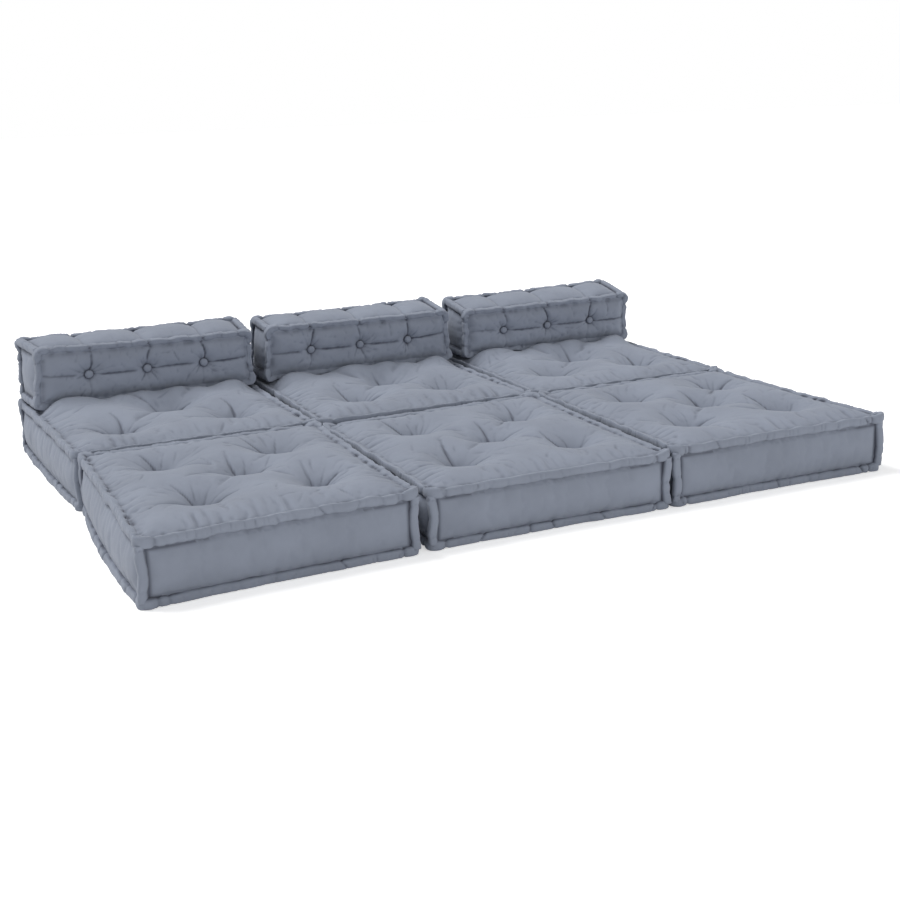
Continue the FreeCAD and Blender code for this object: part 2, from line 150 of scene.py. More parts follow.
CUSHIONS = {body: Cushion(body) for body in SEATS + BACKS}
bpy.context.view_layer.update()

# How far corners of the handmade cushions stand off from true, in metres. A corner is named by whether it is
# the right one, the far one and the high one of the cushion as it lies (None means both heights).
LEAN = {
    "front_left": {
        (0, 0, None): (-0.006, -0.042, 0),
        (1, 0, None): (-0.014, -0.006, 0),
        (0, 1, None): (0.016, 0, 0),
        (1, 1, None): (0.003, 0.003, 0),
    },
    "front_centre": {
        (0, 0, 1): (0.003, 0.003, -0.011),
        (1, 0, 1): (0.003, 0.003, -0.011),
        (0, 1, 1): (-0.002, 0.003, -0.010),
        (1, 0, 0): (0.003, 0, 0),
        (1, 1, None): (0.003, 0.003, 0),
    },
    "front_right": {
        (0, 0, None): (-0.003, 0, 0),
        (1, 0, None): (0.010, 0, 0),
        (1, 1, None): (-0.019, 0.003, 0),
        (0, 1, None): (-0.003, 0.003, 0),
    },
    "rear_left": {
        (0, 0, None): (0.006, -0.003, 0),
        (0, 1, None): (-0.028, 0, 0),
        (1, 0, None): (0.003, -0.003, 0),
    },
    "rear_centre": {
        (0, 0, None): (-0.003, -0.003, 0),
        (1, 0, None): (0.003, -0.003, 0),
    },
    "rear_right": {
        (0, 0, None): (-0.003, -0.003, 0),
        (1, 0, None): (-0.007, -0.003, 0),
    },
    "back_left": {
        (0, 0, 1): (-0.022, -0.006, 0),
        (0, 0, 0): (-0.040, -0.006, 0),
        (1, 0, None): (0.008, -0.004, 0),
        (0, 1, 0): (-0.036, 0.008, 0),
        (0, 1, 1): (-0.004, 0, 0),
        (1, 1, 1): (0.004, -0.010, 0),
        (1, 1, 0): (0.014, 0.010, 0),
    },
    "back_centre": {
        (0, 0, None): (-0.006, 0, 0),
        (0, 1, 1): (0.010, -0.005, 0),
        (0, 1, 0): (0.018, 0.003, 0),
        (1, 1, 1): (-0.010, -0.010, 0),
        (1, 1, 0): (0, 0.011, 0),
    },
    "back_right": {
        (0, 1, 1): (0.004, -0.020, 0),
        (0, 1, 0): (0.016, 0.004, 0),
        (1, 1, 1): (0, -0.014, 0),
        (1, 1, 0): (0.018, 0.015, 0),
    },
}

# How far the outer left side of a seat bows out at its foot, in metres.
BOW = {"front_left": 0.026, "rear_left": 0.016}


def size_property(name, description, default, least, most):
    """A size in metres that a maker would change."""
    return FloatProperty(name=name, description=description, default=default, min=least, max=most,
                         unit="LENGTH")


def colour_property(name, description, default):
    """A colour that a maker would change."""
    return FloatVectorProperty(name=name, description=description, default=default, min=0.0, max=1.0,
                               subtype="COLOR", size=3)


class SofaSizes(bpy.types.PropertyGroup):
    """Sizes of the sewing and stuffing that a maker would change."""

    roll_radius: size_property(
        "Roll radius", "Half the thickness of the rolled edge round the best face",
        0.0130, 0.005, 0.03)
    lower_roll_radius: size_property(
        "Lower roll radius", "Half the thickness of the rolled edge round the plain face",
        0.0115, 0.005, 0.03)
    corner_radius: size_property(
        "Corner roll radius", "Half the thickness of the upright rolls at the corners",
        0.0130, 0.005, 0.03)
    pinch_spacing: size_property(
        "Pinch spacing", "Usual distance between two stitches that pinch a rolled edge",
        0.052, 0.02, 0.2)
    stitch_inset: size_property(
        "Stitch inset", "How far the stitches beside a roll pull the border in",
        0.0115, 0.0, 0.03)
    seat_cell: size_property(
        "Seat cloth cell", "Spacing of the threads that the seat cloth is simulated with",
        0.009, 0.004, 0.03)
    back_cell: size_property(
        "Back cloth cell", "Spacing of the threads that the back cloth is simulated with",
        0.0068, 0.004, 0.03)
    seat_tuft_depth: size_property(
        "Seat tuft depth", "How far a tuft is pulled below the crown of a seat",
        0.066, 0.0, 0.1)
    back_tuft_depth: size_property(
        "Back tuft depth", "How far a button is pulled below the crown of a back",
        0.019, 0.0, 0.1)
    seat_draw: size_property(
        "Seat side draw", "How far the middle of a seat's side is drawn in",
        0.006, 0.0, 0.05)
    back_draw: size_property(
        "Back side draw", "How far the middle of a back's side is drawn in",
        0.003, 0.0, 0.05)
    border_bulge: size_property(
        "Border bulge", "How far the border swells out between its rolled edges",
        0.011, 0.0, 0.03)
    swell_limit: size_property(
        "Swell limit", "Furthest that the stuffing moves a point of the cloth",
        0.04, 0.0, 0.1)
    frames: IntProperty(
        name="Settling steps", description="Steps of the cloth simulation", default=16, min=1, max=60)


class SofaColours(bpy.types.PropertyGroup):
    """Colours of the cloth and thread, and of the shade painted into its folds and seams."""

    cotton: colour_property("Cotton", "Colour of the cotton cover", (0.254, 0.282, 0.346))
    # The shade colour is painted shade: the cotton is darkened towards it in creases, seams, valleys and
    # under the rolls, where shade would fall.
    painted_shade_colour: colour_property(
        "Painted shade", "Colour of the cotton deep in folds and seams", (0.050, 0.056, 0.078))
    thread: colour_property("Thread", "Colour of the sewing thread and tuft twine", (0.170, 0.186, 0.225))
    floor: colour_property("Floor", "Colour of the studio floor", (0.9, 0.9, 0.9))


# Meshes

def quads(rows, columns, ids):
    """Quads of a grid of vertex numbers, rows by columns of cells."""
    return [(ids[r][c], ids[r][c + 1], ids[r + 1][c + 1], ids[r + 1][c])
            for r in range(rows) for c in range(columns)]


def new_piece(name, vertices, faces):
    """Smooth mesh object in the scene."""
    mesh = bpy.data.meshes.new(name)
    mesh.from_pydata(np.asarray(vertices, float).tolist(), [], faces)
    mesh.validate()
    mesh.shade_smooth()
    piece = bpy.data.objects.new(name, mesh)
    bpy.context.scene.collection.objects.link(piece)
    return piece


def coordinates(mesh, field="co"):
    """Places, or another field of three numbers, of all vertices."""
    flat = np.empty(len(mesh.vertices) * 3)
    mesh.vertices.foreach_get(field, flat)
    return flat.reshape(-1, 3)


def move_points(mesh, points):
    """Moves all vertices to the places given."""
    mesh.vertices.foreach_set("co", points.ravel())
    mesh.update()


def rounded(piece):
    """Replaces the mesh with its once subdivided form."""
    piece.modifiers.new("rounding", "SUBSURF").levels = 1
    graph = bpy.context.evaluated_depsgraph_get()
    old = piece.data
    piece.data = bpy.data.meshes.new_from_object(piece.evaluated_get(graph))
    piece.modifiers.clear()
    piece.data.name = piece.name
    bpy.data.meshes.remove(old)


# Hollow of the cloth, as a share of its mesh's spacing, that gets the full painted shade of a crease.
DEEPEST_FOLD = 0.16


def store_painted_shade(piece, seams=0.0, creased=0.7):
    """Stores painted shade for each vertex, from 0 on open cloth to 1 deep in folds and seams, which darkens
    its colour.
    """
    mesh = piece.data
    points = coordinates(mesh)
    normals = coordinates(mesh, "normal")
    pairs = np.empty(len(mesh.edges) * 2, int)
    mesh.edges.foreach_get("vertices", pairs)
    pairs = pairs.reshape(-1, 2)
    lengths = np.linalg.norm(points[pairs[:, 0]] - points[pairs[:, 1]], axis=1)
    degree = np.maximum(np.bincount(pairs.ravel(), minlength=len(points)), 1)
    near = np.zeros_like(points)
    np.add.at(near, pairs[:, 0], points[pairs[:, 1]])
    np.add.at(near, pairs[:, 1], points[pairs[:, 0]])
    hollow = np.einsum("ij,ij->i", near / degree[:, None] - points, normals) / lengths.mean()
    spread = np.zeros_like(hollow)
    np.add.at(spread, pairs[:, 0], hollow[pairs[:, 1]])
    np.add.at(spread, pairs[:, 1], hollow[pairs[:, 0]])
    fold = np.clip((0.5 * hollow + 0.5 * spread / degree) / DEEPEST_FOLD, 0.0, 1.0)
    # Painted shade: curvature hollows, weighted per vertex, and the shade passed in for seams darken the
    # colour where shade would fall.
    attribute = mesh.attributes.new("fold", "FLOAT", "POINT")
    attribute.data.foreach_set("value", np.maximum(creased * fold, seams))


def put_in_place(piece, cushion):
    """Gives a piece its cushion's handmade lean and moves it to the cushion's place."""
    mesh = piece.data
    points = coordinates(mesh)
    u = np.clip(points[:, 0] / cushion.half_x, -1, 1) / 2 + 0.5
    v = np.clip(points[:, 1] / cushion.half_y, -1, 1) / 2 + 0.5
    w = np.clip(points[:, 2] / cushion.height, 0, 1)
    moved = points.copy()
    for (right, far, high), offset in LEAN[cushion.body].items():
        weight = (u if right else 1 - u) * (v if far else 1 - v)
        if high is not None:
            weight = weight * (w if high else 1 - w)
        moved += weight[:, None] * np.asarray(offset)
    moved[:, 0] -= BOW.get(cushion.body, 0.0) * (1 - u) * 4 * v * (1 - v) * (1 - w)
    mesh.vertices.foreach_set("co", moved.ravel())
    mesh.transform(cushion.place)
    mesh.update()


# Sewing

def hill(distance, width):
    """One at no distance, falling to nothing over a width."""
    return np.exp(-(distance / width) ** 2)


def uneven(share, chance, slowest, fastest, count):
    """Smooth random wave round a closed line."""
    wave = np.zeros_like(share)
    for _ in range(count):
        turns = chance.integers(slowest, fastest)
        wave += np.sin(2 * math.pi * (turns * share + chance.uniform(0, 1)))
    return wave / math.sqrt(count)


def outline_share(cushion, x, y):
    """Share of the way round a cushion's outline of the place nearest to each point."""
    half_x = cushion.half_x
    half_y = cushion.half_y
    gaps = np.stack([y + half_y, half_x - x, half_y - y, x + half_x])
    ways = np.stack([x + half_x, 2 * half_x + y + half_y, 3 * half_x + 2 * half_y - x,
                     4 * half_x + 3 * half_y - y])
    way = np.take_along_axis(ways, gaps.argmin(axis=0)[None], axis=0)[0]
    return way / cushion.around


# How hard the crease at a button pinches the roll, how far apart and how long the hand stitches beside a roll
# are, and how wide they gape on each kind of side.
CREASE_PULL = 0.6
STITCH_SPACING = 0.034
STITCH_LENGTHS = (0.003, 0.016)
LONG_SIDE_GAPS = 0.5
SEAT_END_GAPS = 1.0
BACK_END_GAPS = 0.4


def pinches(cushion, sizes, upper):
    """Places round the outline, as shares of it, where a stitch pinches a roll, and how hard."""
    chance = np.random.default_rng(2 * cushion.seed + int(upper))
    count = int(round(cushion.around / sizes.pinch_spacing))
    shares = (np.arange(count) + 0.5 + chance.uniform(-0.34, 0.34, count)) / count
    lightest = 0.05
    spread = 0.2 if upper else 0.4
    pulls = lightest + spread * chance.uniform(0, 1, count) ** 3
    if cushion.is_back:
        places = [(3 * cushion.half_x + 2 * cushion.half_y - x) / cushion.around for x, _ in cushion.tufts]
        shares = np.append(shares, places)
        pulls = np.append(pulls, np.full(len(places), CREASE_PULL))
    return shares, pulls


def pinch_pull(cushion, sizes, upper, share, width, slant=0.0):
    """How hard the stitches pinch at each share of the outline, over a width along it."""
    chance = np.random.default_rng(50 + 2 * cushion.seed + int(upper))
    total = np.zeros(np.broadcast(share, slant).shape)
    for place, pull in zip(*pinches(cushion, sizes, upper)):
        gap = (share - place + 0.5) % 1.0 - 0.5
        lean = chance.uniform(-0.8, 0.8)
        total = np.maximum(total, pull * hill(gap * cushion.around + lean * slant, width))
    return total


def stitch_gaps(cushion, share):
    """Where the long hand stitches open a gap between the upper roll and its panel, from 0 to 1."""
    chance = cushion.chance("stitches")
    count = int(round(cushion.around / STITCH_SPACING))
    gaps = np.zeros_like(share)
    for index in range(count):
        place = (index + 0.5 + chance.uniform(-0.48, 0.48)) / count
        long = chance.uniform(*STITCH_LENGTHS)
        along = ((share - place + 0.5) % 1.0 - 0.5) * cushion.around
        gaps = np.maximum(gaps, chance.uniform(0.25, 1.0) * np.exp(-(along / long) ** 4))
    patches = np.clip(0.8 + 0.5 * uneven(share, chance, 3, 10, 4), 0.2, 1)
    on_long_side = share % 0.5 < 2 * cushion.half_x / cushion.around
    on_short_side = BACK_END_GAPS if cushion.is_back else SEAT_END_GAPS
    return gaps * patches * np.where(on_long_side, LONG_SIDE_GAPS, on_short_side)


def bent_line(start, end, bend, count=20):
    """Points of a line from start to end that bows sideways by a share of its length."""
    start = np.asarray(start, float)
    end = np.asarray(end, float)
    along = end - start
    middle = (start + end) / 2 + bend * np.array([-along[1], along[0]])
    t = np.linspace(0, 1, count)[:, None]
    return (1 - t) ** 2 * start + 2 * t * (1 - t) * middle + t ** 2 * end


def nearest_on_line(points, line):
    """Distance of each point to a polyline and the share of the way along it."""
    gap = np.full(len(points), np.inf)
    share = np.zeros(len(points))
    for index in range(len(line) - 1):
        a = line[index]
        way = line[index + 1] - a
        t = np.clip(((points - a) @ way) / max(way @ way, 1e-12), 0, 1)
        distance = np.linalg.norm(points - (a + t[:, None] * way), axis=1)
        closer = distance < gap
        gap[closer] = distance[closer]
        share[closer] = (index + t[closer]) / (len(line) - 1)
    return gap, share


# Folds that run out from each tuft of a seat: their headings in degrees and their lengths, how far they swing
# and bend, and their depth at the far end. Softer ones link the outer tufts with the middle one.
SEAT_ARMS = ((180, 0.14), (105, 0.12), (0, 0.085), (-85, 0.05))
ARM_SWING = 24
ARM_BEND = 0.25
ARM_END_DEPTH = 0.004
LINK_BEND = 0.12
LINK_DEPTHS = (0.014, 0.012)


def seat_folds(cushion, sizes):
    """Folds of a seat, out from each tuft and on to the middle one.

    Each has its line, its depth at the tuft and at the far end, and how firmly it is creased.
    """
    chance = cushion.chance("seat folds")
    folds = []
    for tuft, drawn in zip(cushion.tufts, cushion.drawn):
        for heading, reach in SEAT_ARMS:
            angle = math.radians(heading + chance.uniform(-ARM_SWING, ARM_SWING))
            length = reach * chance.uniform(0.7, 1.2)
            end = (tuft[0] + length * math.cos(angle), tuft[1] + length * math.sin(angle))
            line = bent_line(tuft, end, chance.uniform(-ARM_BEND, ARM_BEND))
            folds.append((line, drawn * sizes.seat_tuft_depth, ARM_END_DEPTH, chance.uniform(0.4, 1.0)))
    middle = cushion.tufts[2]
    for tuft in cushion.tufts[:2] + cushion.tufts[3:]:
        line = bent_line(tuft, middle, chance.uniform(-LINK_BEND, LINK_BEND))
        folds.append((line, *LINK_DEPTHS, 0.0))
    return folds


# Depths of a back's folds: along the row of buttons, from a button up and from a button down.
ROW_START_DEPTH = 0.003
ROW_DEPTH = 0.007
UPPER_FOLD_DEPTH = 0.011
LOWER_FOLD_DEPTHS = (0.006, 0.003)
LOWER_FOLD_FIRM = 0.25


def back_folds(cushion, sizes):
    """Folds of a back, along the row of buttons and from each button to the long edges.

    Each has its line, its depth at the button and at the far end, and how firmly it is creased.
    """
    chance = cushion.chance("back folds")
    top = cushion.half_y - 2 * sizes.roll_radius
    side = cushion.half_x - 2 * sizes.roll_radius
    folds = []
    stops = [(-side, chance.uniform(-0.012, 0.012)), *cushion.tufts, (side, chance.uniform(-0.004, 0.014))]
    for index in range(len(stops) - 1):
        line = bent_line(stops[index], stops[index + 1], chance.uniform(-0.05, 0.05))
        firm = chance.uniform(0.1, 0.3) if index == 0 else chance.uniform(0.3, 0.8)
        folds.append((line, ROW_START_DEPTH if index == 0 else ROW_DEPTH, ROW_DEPTH, firm))
    for tuft in cushion.tufts:
        upper = (tuft[0] + chance.uniform(-0.014, 0.014), top)
        lower = (tuft[0] + chance.uniform(-0.02, 0.02), -top)
        firm = chance.uniform(0.4, 1.2)
        line = bent_line(tuft, upper, chance.uniform(-0.3, 0.3))
        folds.append((line, UPPER_FOLD_DEPTH, 0.004 + 0.006 * firm, firm))
        line = bent_line(tuft, lower, chance.uniform(-0.1, 0.1))
        folds.append((line, *LOWER_FOLD_DEPTHS, LOWER_FOLD_FIRM))
    return folds


# Covers

class Grid:
    """Flat grid of the cloth of one cushion's panels, between the seams inside its rolls."""

    def __init__(self, cushion, sizes):
        self.cell = sizes.back_cell if cushion.is_back else sizes.seat_cell
        draw = sizes.back_draw if cushion.is_back else sizes.seat_draw
        half_x = cushion.half_x - sizes.roll_radius
        half_y = cushion.half_y - sizes.roll_radius
        self.columns = int(round(2 * half_x / self.cell))
        self.rows = int(round(2 * half_y / self.cell))
        across = np.linspace(-1, 1, self.columns + 1)
        along = np.linspace(-1, 1, self.rows + 1)
        across, along = np.meshgrid(across, along)
        self.x = across * (half_x - draw * (1 - along ** 2))
        self.y = along * (half_y - draw * (1 - across ** 2))
        self.edge = np.minimum((1 - abs(across)) * half_x, (1 - abs(along)) * half_y)
        self.walk = ([(0, c) for c in range(self.columns)]
                     + [(r, self.columns) for r in range(self.rows)]
                     + [(self.rows, c) for c in range(self.columns, 0, -1)]
                     + [(r, 0) for r in range(self.rows, 0, -1)])


# The plain face's tufts and crown, and how the stitching beside a roll lies: a little above the seam, and
# drawn down by pinches and gaping stitches.
LOWER_TUFT_DEPTH = 0.012
LOWER_CROWN = -0.0015
PINCH_WIDTH = 0.012
SEAM_LIFT = 0.002
PINCH_DROP = 0.01
GAP_DROP = 0.007


def cushion_folds(cushion, sizes):
    """Folds of a cushion's best face."""
    return back_folds(cushion, sizes) if cushion.is_back else seat_folds(cushion, sizes)


def panel_start(cushion, sizes, grid, upper):
    """Outward height that a panel starts from before it is stuffed, and which vertices the sewing holds."""
    if cushion.is_back:
        run = 0.035
        width = 0.015
        held_share = 0.8
        tie = cushion.tie_radius
        depth = sizes.back_tuft_depth
    else:
        run = 0.075
        width = 0.044
        held_share = 0.3
        tie = 0.8 * grid.cell
        depth = sizes.seat_tuft_depth
    seam = cushion.height - 0.4 * sizes.roll_radius
    crown = cushion.crown
    folds = cushion_folds(cushion, sizes)
    if not upper:
        depth = LOWER_TUFT_DEPTH
        seam = -sizes.lower_roll_radius
        crown = LOWER_CROWN
        folds = folds if cushion.is_back else []
    rise = np.clip((grid.edge - grid.cell) / run, 0, 1)
    level = seam + (crown - seam) * (1 - (1 - rise) ** 2)
    ring = (grid.edge > 0.5 * grid.cell) & (grid.edge < 1.5 * grid.cell)
    share = outline_share(cushion, grid.x, grid.y)
    pull = pinch_pull(cushion, sizes, upper, share, PINCH_WIDTH)
    sewn = seam + SEAM_LIFT - PINCH_DROP * pull - GAP_DROP * stitch_gaps(cushion, share)
    level = np.where(ring, sewn, level)
    flat = np.stack([grid.x.ravel(), grid.y.ravel()], axis=1)
    drop = np.zeros(len(flat))
    held = (grid.edge < 1.5 * grid.cell).ravel()
    for tuft, drawn in zip(cushion.tufts, cushion.drawn):
        gap = np.linalg.norm(flat - np.asarray(tuft), axis=1)
        drop = np.maximum(drop, drawn * depth * np.exp(-np.maximum(gap - tie, 0) / width))
        held |= gap < tie
    for line, deep, shallow, _ in folds:
        gap, share = nearest_on_line(flat, line)
        pulled = shallow + (min(deep, depth) - shallow) * (1 - share) ** 2
        drop = np.maximum(drop, pulled * hill(gap, 0.5 * width))
        held |= (gap < 0.5 * grid.cell) & (share < held_share)
    inner = np.clip(grid.edge / (3 * grid.cell), 0, 1).ravel()
    return level - (drop * inner).reshape(level.shape), held.reshape(level.shape)


# The border: room beside a corner roll, length over which it swells from there, the pillows between the
# creases of a back's top strip, its ripples, and how far pinches and creases draw it in.
POST_MARGIN = 0.004
BULGE_RUN = 0.05
PILLOW_HEIGHT = 0.010
PILLOW_RUN = 0.03
BORDER_RIPPLE = 0.0004
PINCH_DEPTH = 0.009
CREASE_DEPTH = 0.004


def border_rows(cushion, sizes, grid):
    """Rows of cloth round the cushion between its rolls: places, and which vertices the stitches hold."""
    rim = np.array([(grid.x[r, c], grid.y[r, c]) for r, c in grid.walk])
    outward = np.array([(float(c == grid.columns) - float(c == 0), float(r == grid.rows) - float(r == 0))
                        for r, c in grid.walk])
    outward /= np.linalg.norm(outward, axis=1, keepdims=True)
    share = outline_share(cushion, rim[:, 0], rim[:, 1])
    from_corner = cushion.from_corner(rim[:, 0], rim[:, 1])
    post = 2 * sizes.corner_radius + POST_MARGIN
    on_top = rim[:, 1] > 0.8 * cushion.half_y
    open_cloth = np.clip((from_corner - post) / BULGE_RUN, 0, 1) ** 0.5
    stitched = sizes.roll_radius - sizes.stitch_inset
    high = cushion.height - 2 * sizes.roll_radius
    low = 2 * sizes.lower_roll_radius
    count = max(int(round((high - low) / grid.cell)), 4)
    ripple = BORDER_RIPPLE * uneven(share, cushion.chance("border"), 30, 110, 9)
    upper_pull = pinch_pull(cushion, sizes, True, share, PINCH_WIDTH)
    lower_pull = pinch_pull(cushion, sizes, False, share, PINCH_WIDTH)
    rows = []
    for index in range(count + 1):
        t = index / count
        swell = stitched + sizes.border_bulge * (4 * t * (1 - t)) ** 0.6 * open_cloth + ripple
        if cushion.is_back:
            pillow = np.min([abs(rim[:, 0] - x) for x, _ in cushion.tufts], axis=0)
            plump = PILLOW_HEIGHT * (4 * t * (1 - t)) ** 0.5
            swell += plump * open_cloth * on_top * (1 - hill(pillow, PILLOW_RUN))
        swell -= PINCH_DEPTH * (upper_pull * max(1 - 4 * t, 0) + lower_pull * max(4 * t - 3, 0))
        held = np.full(len(rim), index in (0, count)) | (from_corner < post + 0.5 * grid.cell)
        if cushion.is_back:
            for x, _ in cushion.tufts:
                across = (abs(rim[:, 0] - x) < 0.6 * grid.cell) & on_top
                swell -= np.where(across, CREASE_DEPTH, 0)
                held |= across
        level = np.full(len(rim), high + (low - high) * t)
        rows.append((np.column_stack([rim + outward * swell[:, None], level]), held))
    return rows


# How the cloth of the covers behaves as it is stuffed.
CLOTH = {
    "quality": 5,
    "mass": 0.3,
    "tension_stiffness": 15,
    "compression_stiffness": 15,
    "shear_stiffness": 5,
    "air_damping": 5,
    "pin_stiffness": 1,
    "use_pressure": True,
    "shrink_min": -0.01,
    "shrink_max": -0.1,
}


def settle(points, faces, held, spare, sizes, pressure, stiffness):
    """Blows cloth up against its stitches and gives where its vertices come to rest."""
    piece = new_piece("settling_cloth", points, faces)
    pins = piece.vertex_groups.new(name="held")
    pins.add([int(i) for i in np.nonzero(held)[0]], 1.0, "REPLACE")
    slack = piece.vertex_groups.new(name="spare")
    for level in np.unique(spare):
        slack.add([int(i) for i in np.nonzero(spare == level)[0]], float(level), "REPLACE")
    cloth = piece.modifiers.new("stuffing", "CLOTH")
    settings = cloth.settings
    for name, value in CLOTH.items():
        setattr(settings, name, value)
    settings.bending_stiffness = stiffness
    settings.uniform_pressure_force = pressure
    settings.vertex_group_mass = pins.name
    settings.vertex_group_shrink = slack.name
    settings.effector_weights.gravity = 0
    cloth.collision_settings.use_collision = False
    cloth.point_cache.frame_start = 1
    cloth.point_cache.frame_end = sizes.frames
    for step in range(1, sizes.frames + 1):
        bpy.context.scene.frame_set(step)
    graph = bpy.context.evaluated_depsgraph_get()
    rested = piece.evaluated_get(graph).to_mesh()
    moved = coordinates(rested) - points
    bpy.data.objects.remove(piece)
    bpy.context.scene.frame_set(1)
    far = np.maximum(np.linalg.norm(moved, axis=1, keepdims=True), 1e-9)
    return points + moved / far * sizes.swell_limit * np.tanh(far / sizes.swell_limit)


# The plump ridge before a back: its height, its place and reach, and its distance from the side seams.
PLUMP_HEIGHT = 0.028
PLUMP_PLACE = 0.03
PLUMP_REACH = 0.05
SEAM_CLEAR = 0.03


def bear_back(cushion, sheet):
    """Heights of a rear seat's top that bears its back: pressed flat under it, plumped up in front of it."""
    low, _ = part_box(f"{cushion.body.replace('rear', 'back')}_rolled_edges")
    x, y, z = np.moveaxis(sheet, 2, 0)
    before = low.y - cushion.place.translation.y - y
    inside = np.clip((cushion.half_x - abs(x) - SEAM_CLEAR) / PLUMP_REACH, 0, 1)
    plump = PLUMP_HEIGHT * hill(before - PLUMP_PLACE, PLUMP_REACH) * inside
    for tuft_x, _ in cushion.tufts[2:]:
        plump *= 1 - 0.4 * hill(x - tuft_x, 0.036)
    plump *= np.clip((z - cushion.height + 0.02) / 0.02, 0, 1)
    touching = low.z - 0.002 - 25 * before ** 2 - 0.2 * (1 - inside)
    ceiling = low.z - 0.001 + np.clip(before + 0.003, 0, None) * 1.5
    height = np.minimum(np.maximum(z + plump, touching), ceiling)
    ease = 0.7 * hill(before, PLUMP_REACH) * inside
    for _ in range(5):
        spread = np.pad(height, 1, mode="edge")
        near = (spread[:-2, 1:-1] + spread[2:, 1:-1] + spread[1:-1, :-2] + spread[1:-1, 2:]) / 4
        height = np.minimum(height + ease * (near - height), ceiling)
    return height


def press_creases(piece, folds, width, depth):
    """Presses narrow creases into the best face of a cover along its folds."""
    mesh = piece.data
    points = coordinates(mesh)
    facing = coordinates(mesh, "normal")[:, 2] > 0.25
    press = np.zeros(len(points))
    for line, _, _, firm in folds:
        low = line.min(axis=0) - 3 * width
        high = line.max(axis=0) + 3 * width
        near = np.nonzero(facing & np.all((points[:, :2] > low) & (points[:, :2] < high), axis=1))[0]
        gap, share = nearest_on_line(points[near, :2], line)
        pressed = firm * depth * (1 - 0.8 * share) * hill(gap, width)
        press[near] = np.maximum(press[near], pressed)
    points[:, 2] -= press
    move_points(mesh, points)


# Wrinkles of the best face: short creases strewn over it, ripples that run in from the rolls, and puckers
# that gather at the tufts.
STREWN_CREASES = 80
STREWN_BACK_CREASES = 14
STREWN_LENGTHS = (0.015, 0.045)
STREWN_WIDTHS = (0.0045, 0.008)
STREWN_DEPTH = 0.0018
RIPPLE_HEIGHT = 0.0018
RIPPLE_LENGTHS = (0.06, 0.026)
RIPPLE_REACH = 0.045
PUCKER_DEPTH = 0.0034
PUCKER_WIDTH = 0.006
PUCKER_LENGTHS = (0.03, 0.07)
PUCKERS = 9


def strewn_creases(cushion, flat, chance):
    """Depth, from 0 to 1, of short creases strewn over the best face, most of them towards a tuft."""
    depth = np.zeros(len(flat))
    tufts = np.array(cushion.tufts)
    for _ in range(STREWN_BACK_CREASES if cushion.is_back else STREWN_CREASES):
        place = chance.uniform(-0.88, 0.88, 2) * (cushion.half_x, cushion.half_y)
        to_tuft = tufts[np.linalg.norm(tufts - place, axis=1).argmin()] - place
        heading = math.atan2(to_tuft[1], to_tuft[0]) + chance.normal(0, 0.6)
        away = flat - place
        along = away[:, 0] * math.cos(heading) + away[:, 1] * math.sin(heading)
        across = away[:, 1] * math.cos(heading) - away[:, 0] * math.sin(heading)
        across += chance.uniform(-4, 4) * along ** 2
        long = chance.uniform(*STREWN_LENGTHS)
        wide = chance.uniform(*STREWN_WIDTHS)
        strength = chance.uniform(0.2, 1)
        crease = np.exp(-(along / long) ** 2 - (across / wide) ** 2)
        depth = np.maximum(depth, strength * crease)
    return depth


def fine_wrinkles(piece, cushion):
    """Raises short ripples that run in from the rolls and narrow puckers that gather at the tufts."""
    mesh = piece.data
    chance = cushion.chance("wrinkles")
    points = coordinates(mesh)
    normals = coordinates(mesh, "normal")
    x, y, _ = points.T
    outer = cushion.from_side(x, y)
    full = 0.5 if cushion.is_back else 1.0
    share = outline_share(cushion, x, y)
    slowest, fastest = (int(cushion.around / length) for length in RIPPLE_LENGTHS)
    ripple = uneven(share, chance, slowest, fastest, 7)
    patches = np.clip(0.4 + uneven(share, chance, 5, 16, 4), 0, 1)
    lift = RIPPLE_HEIGHT * full * patches * ripple * hill(outer - RIPPLE_REACH, RIPPLE_REACH)
    lift -= STREWN_DEPTH * strewn_creases(cushion, points[:, :2], chance)
    for tuft in cushion.tufts:
        away = points[:, :2] - np.asarray(tuft)
        reach = np.linalg.norm(away, axis=1)
        angle = np.arctan2(away[:, 1], away[:, 0]) + 6 * chance.uniform(-1, 1) * reach
        pucker = np.zeros(len(points))
        for _ in range(PUCKERS):
            turn = (angle - chance.uniform(0, 2 * math.pi) + math.pi) % (2 * math.pi) - math.pi
            long = chance.uniform(*PUCKER_LENGTHS)
            ridge = np.exp(-(turn * (reach + 0.02) / PUCKER_WIDTH) ** 2 - (reach / long) ** 2)
            pucker = np.maximum(pucker, ridge)
        lift -= PUCKER_DEPTH * full * pucker * np.clip((reach - 0.008) / 0.012, 0, 1)
    lift *= np.clip(normals[:, 2], 0, 1)
    move_points(mesh, points + normals * lift[:, None])


# Painted shade at the seams: how far it reaches under the upper roll, over the lower one, beside a post,
# beside a panel and round a button; how dark it is; and where below the crown a seat's valleys begin to get
# painted shade and over what depth they reach their darkest.
UPPER_SEAM_REACH = 0.0055
LOWER_SEAM_REACH = 0.004
POST_SEAM_REACH = 0.005
PANEL_SEAM_REACH = 0.006
BUTTON_SEAM_REACH = 0.0035
BORDER_SHADE = 0.95
BACK_SHADE = 0.8
BUTTON_SHADE = 0.9
VALLEY_START = 0.010
VALLEY_DEPTH = 0.055


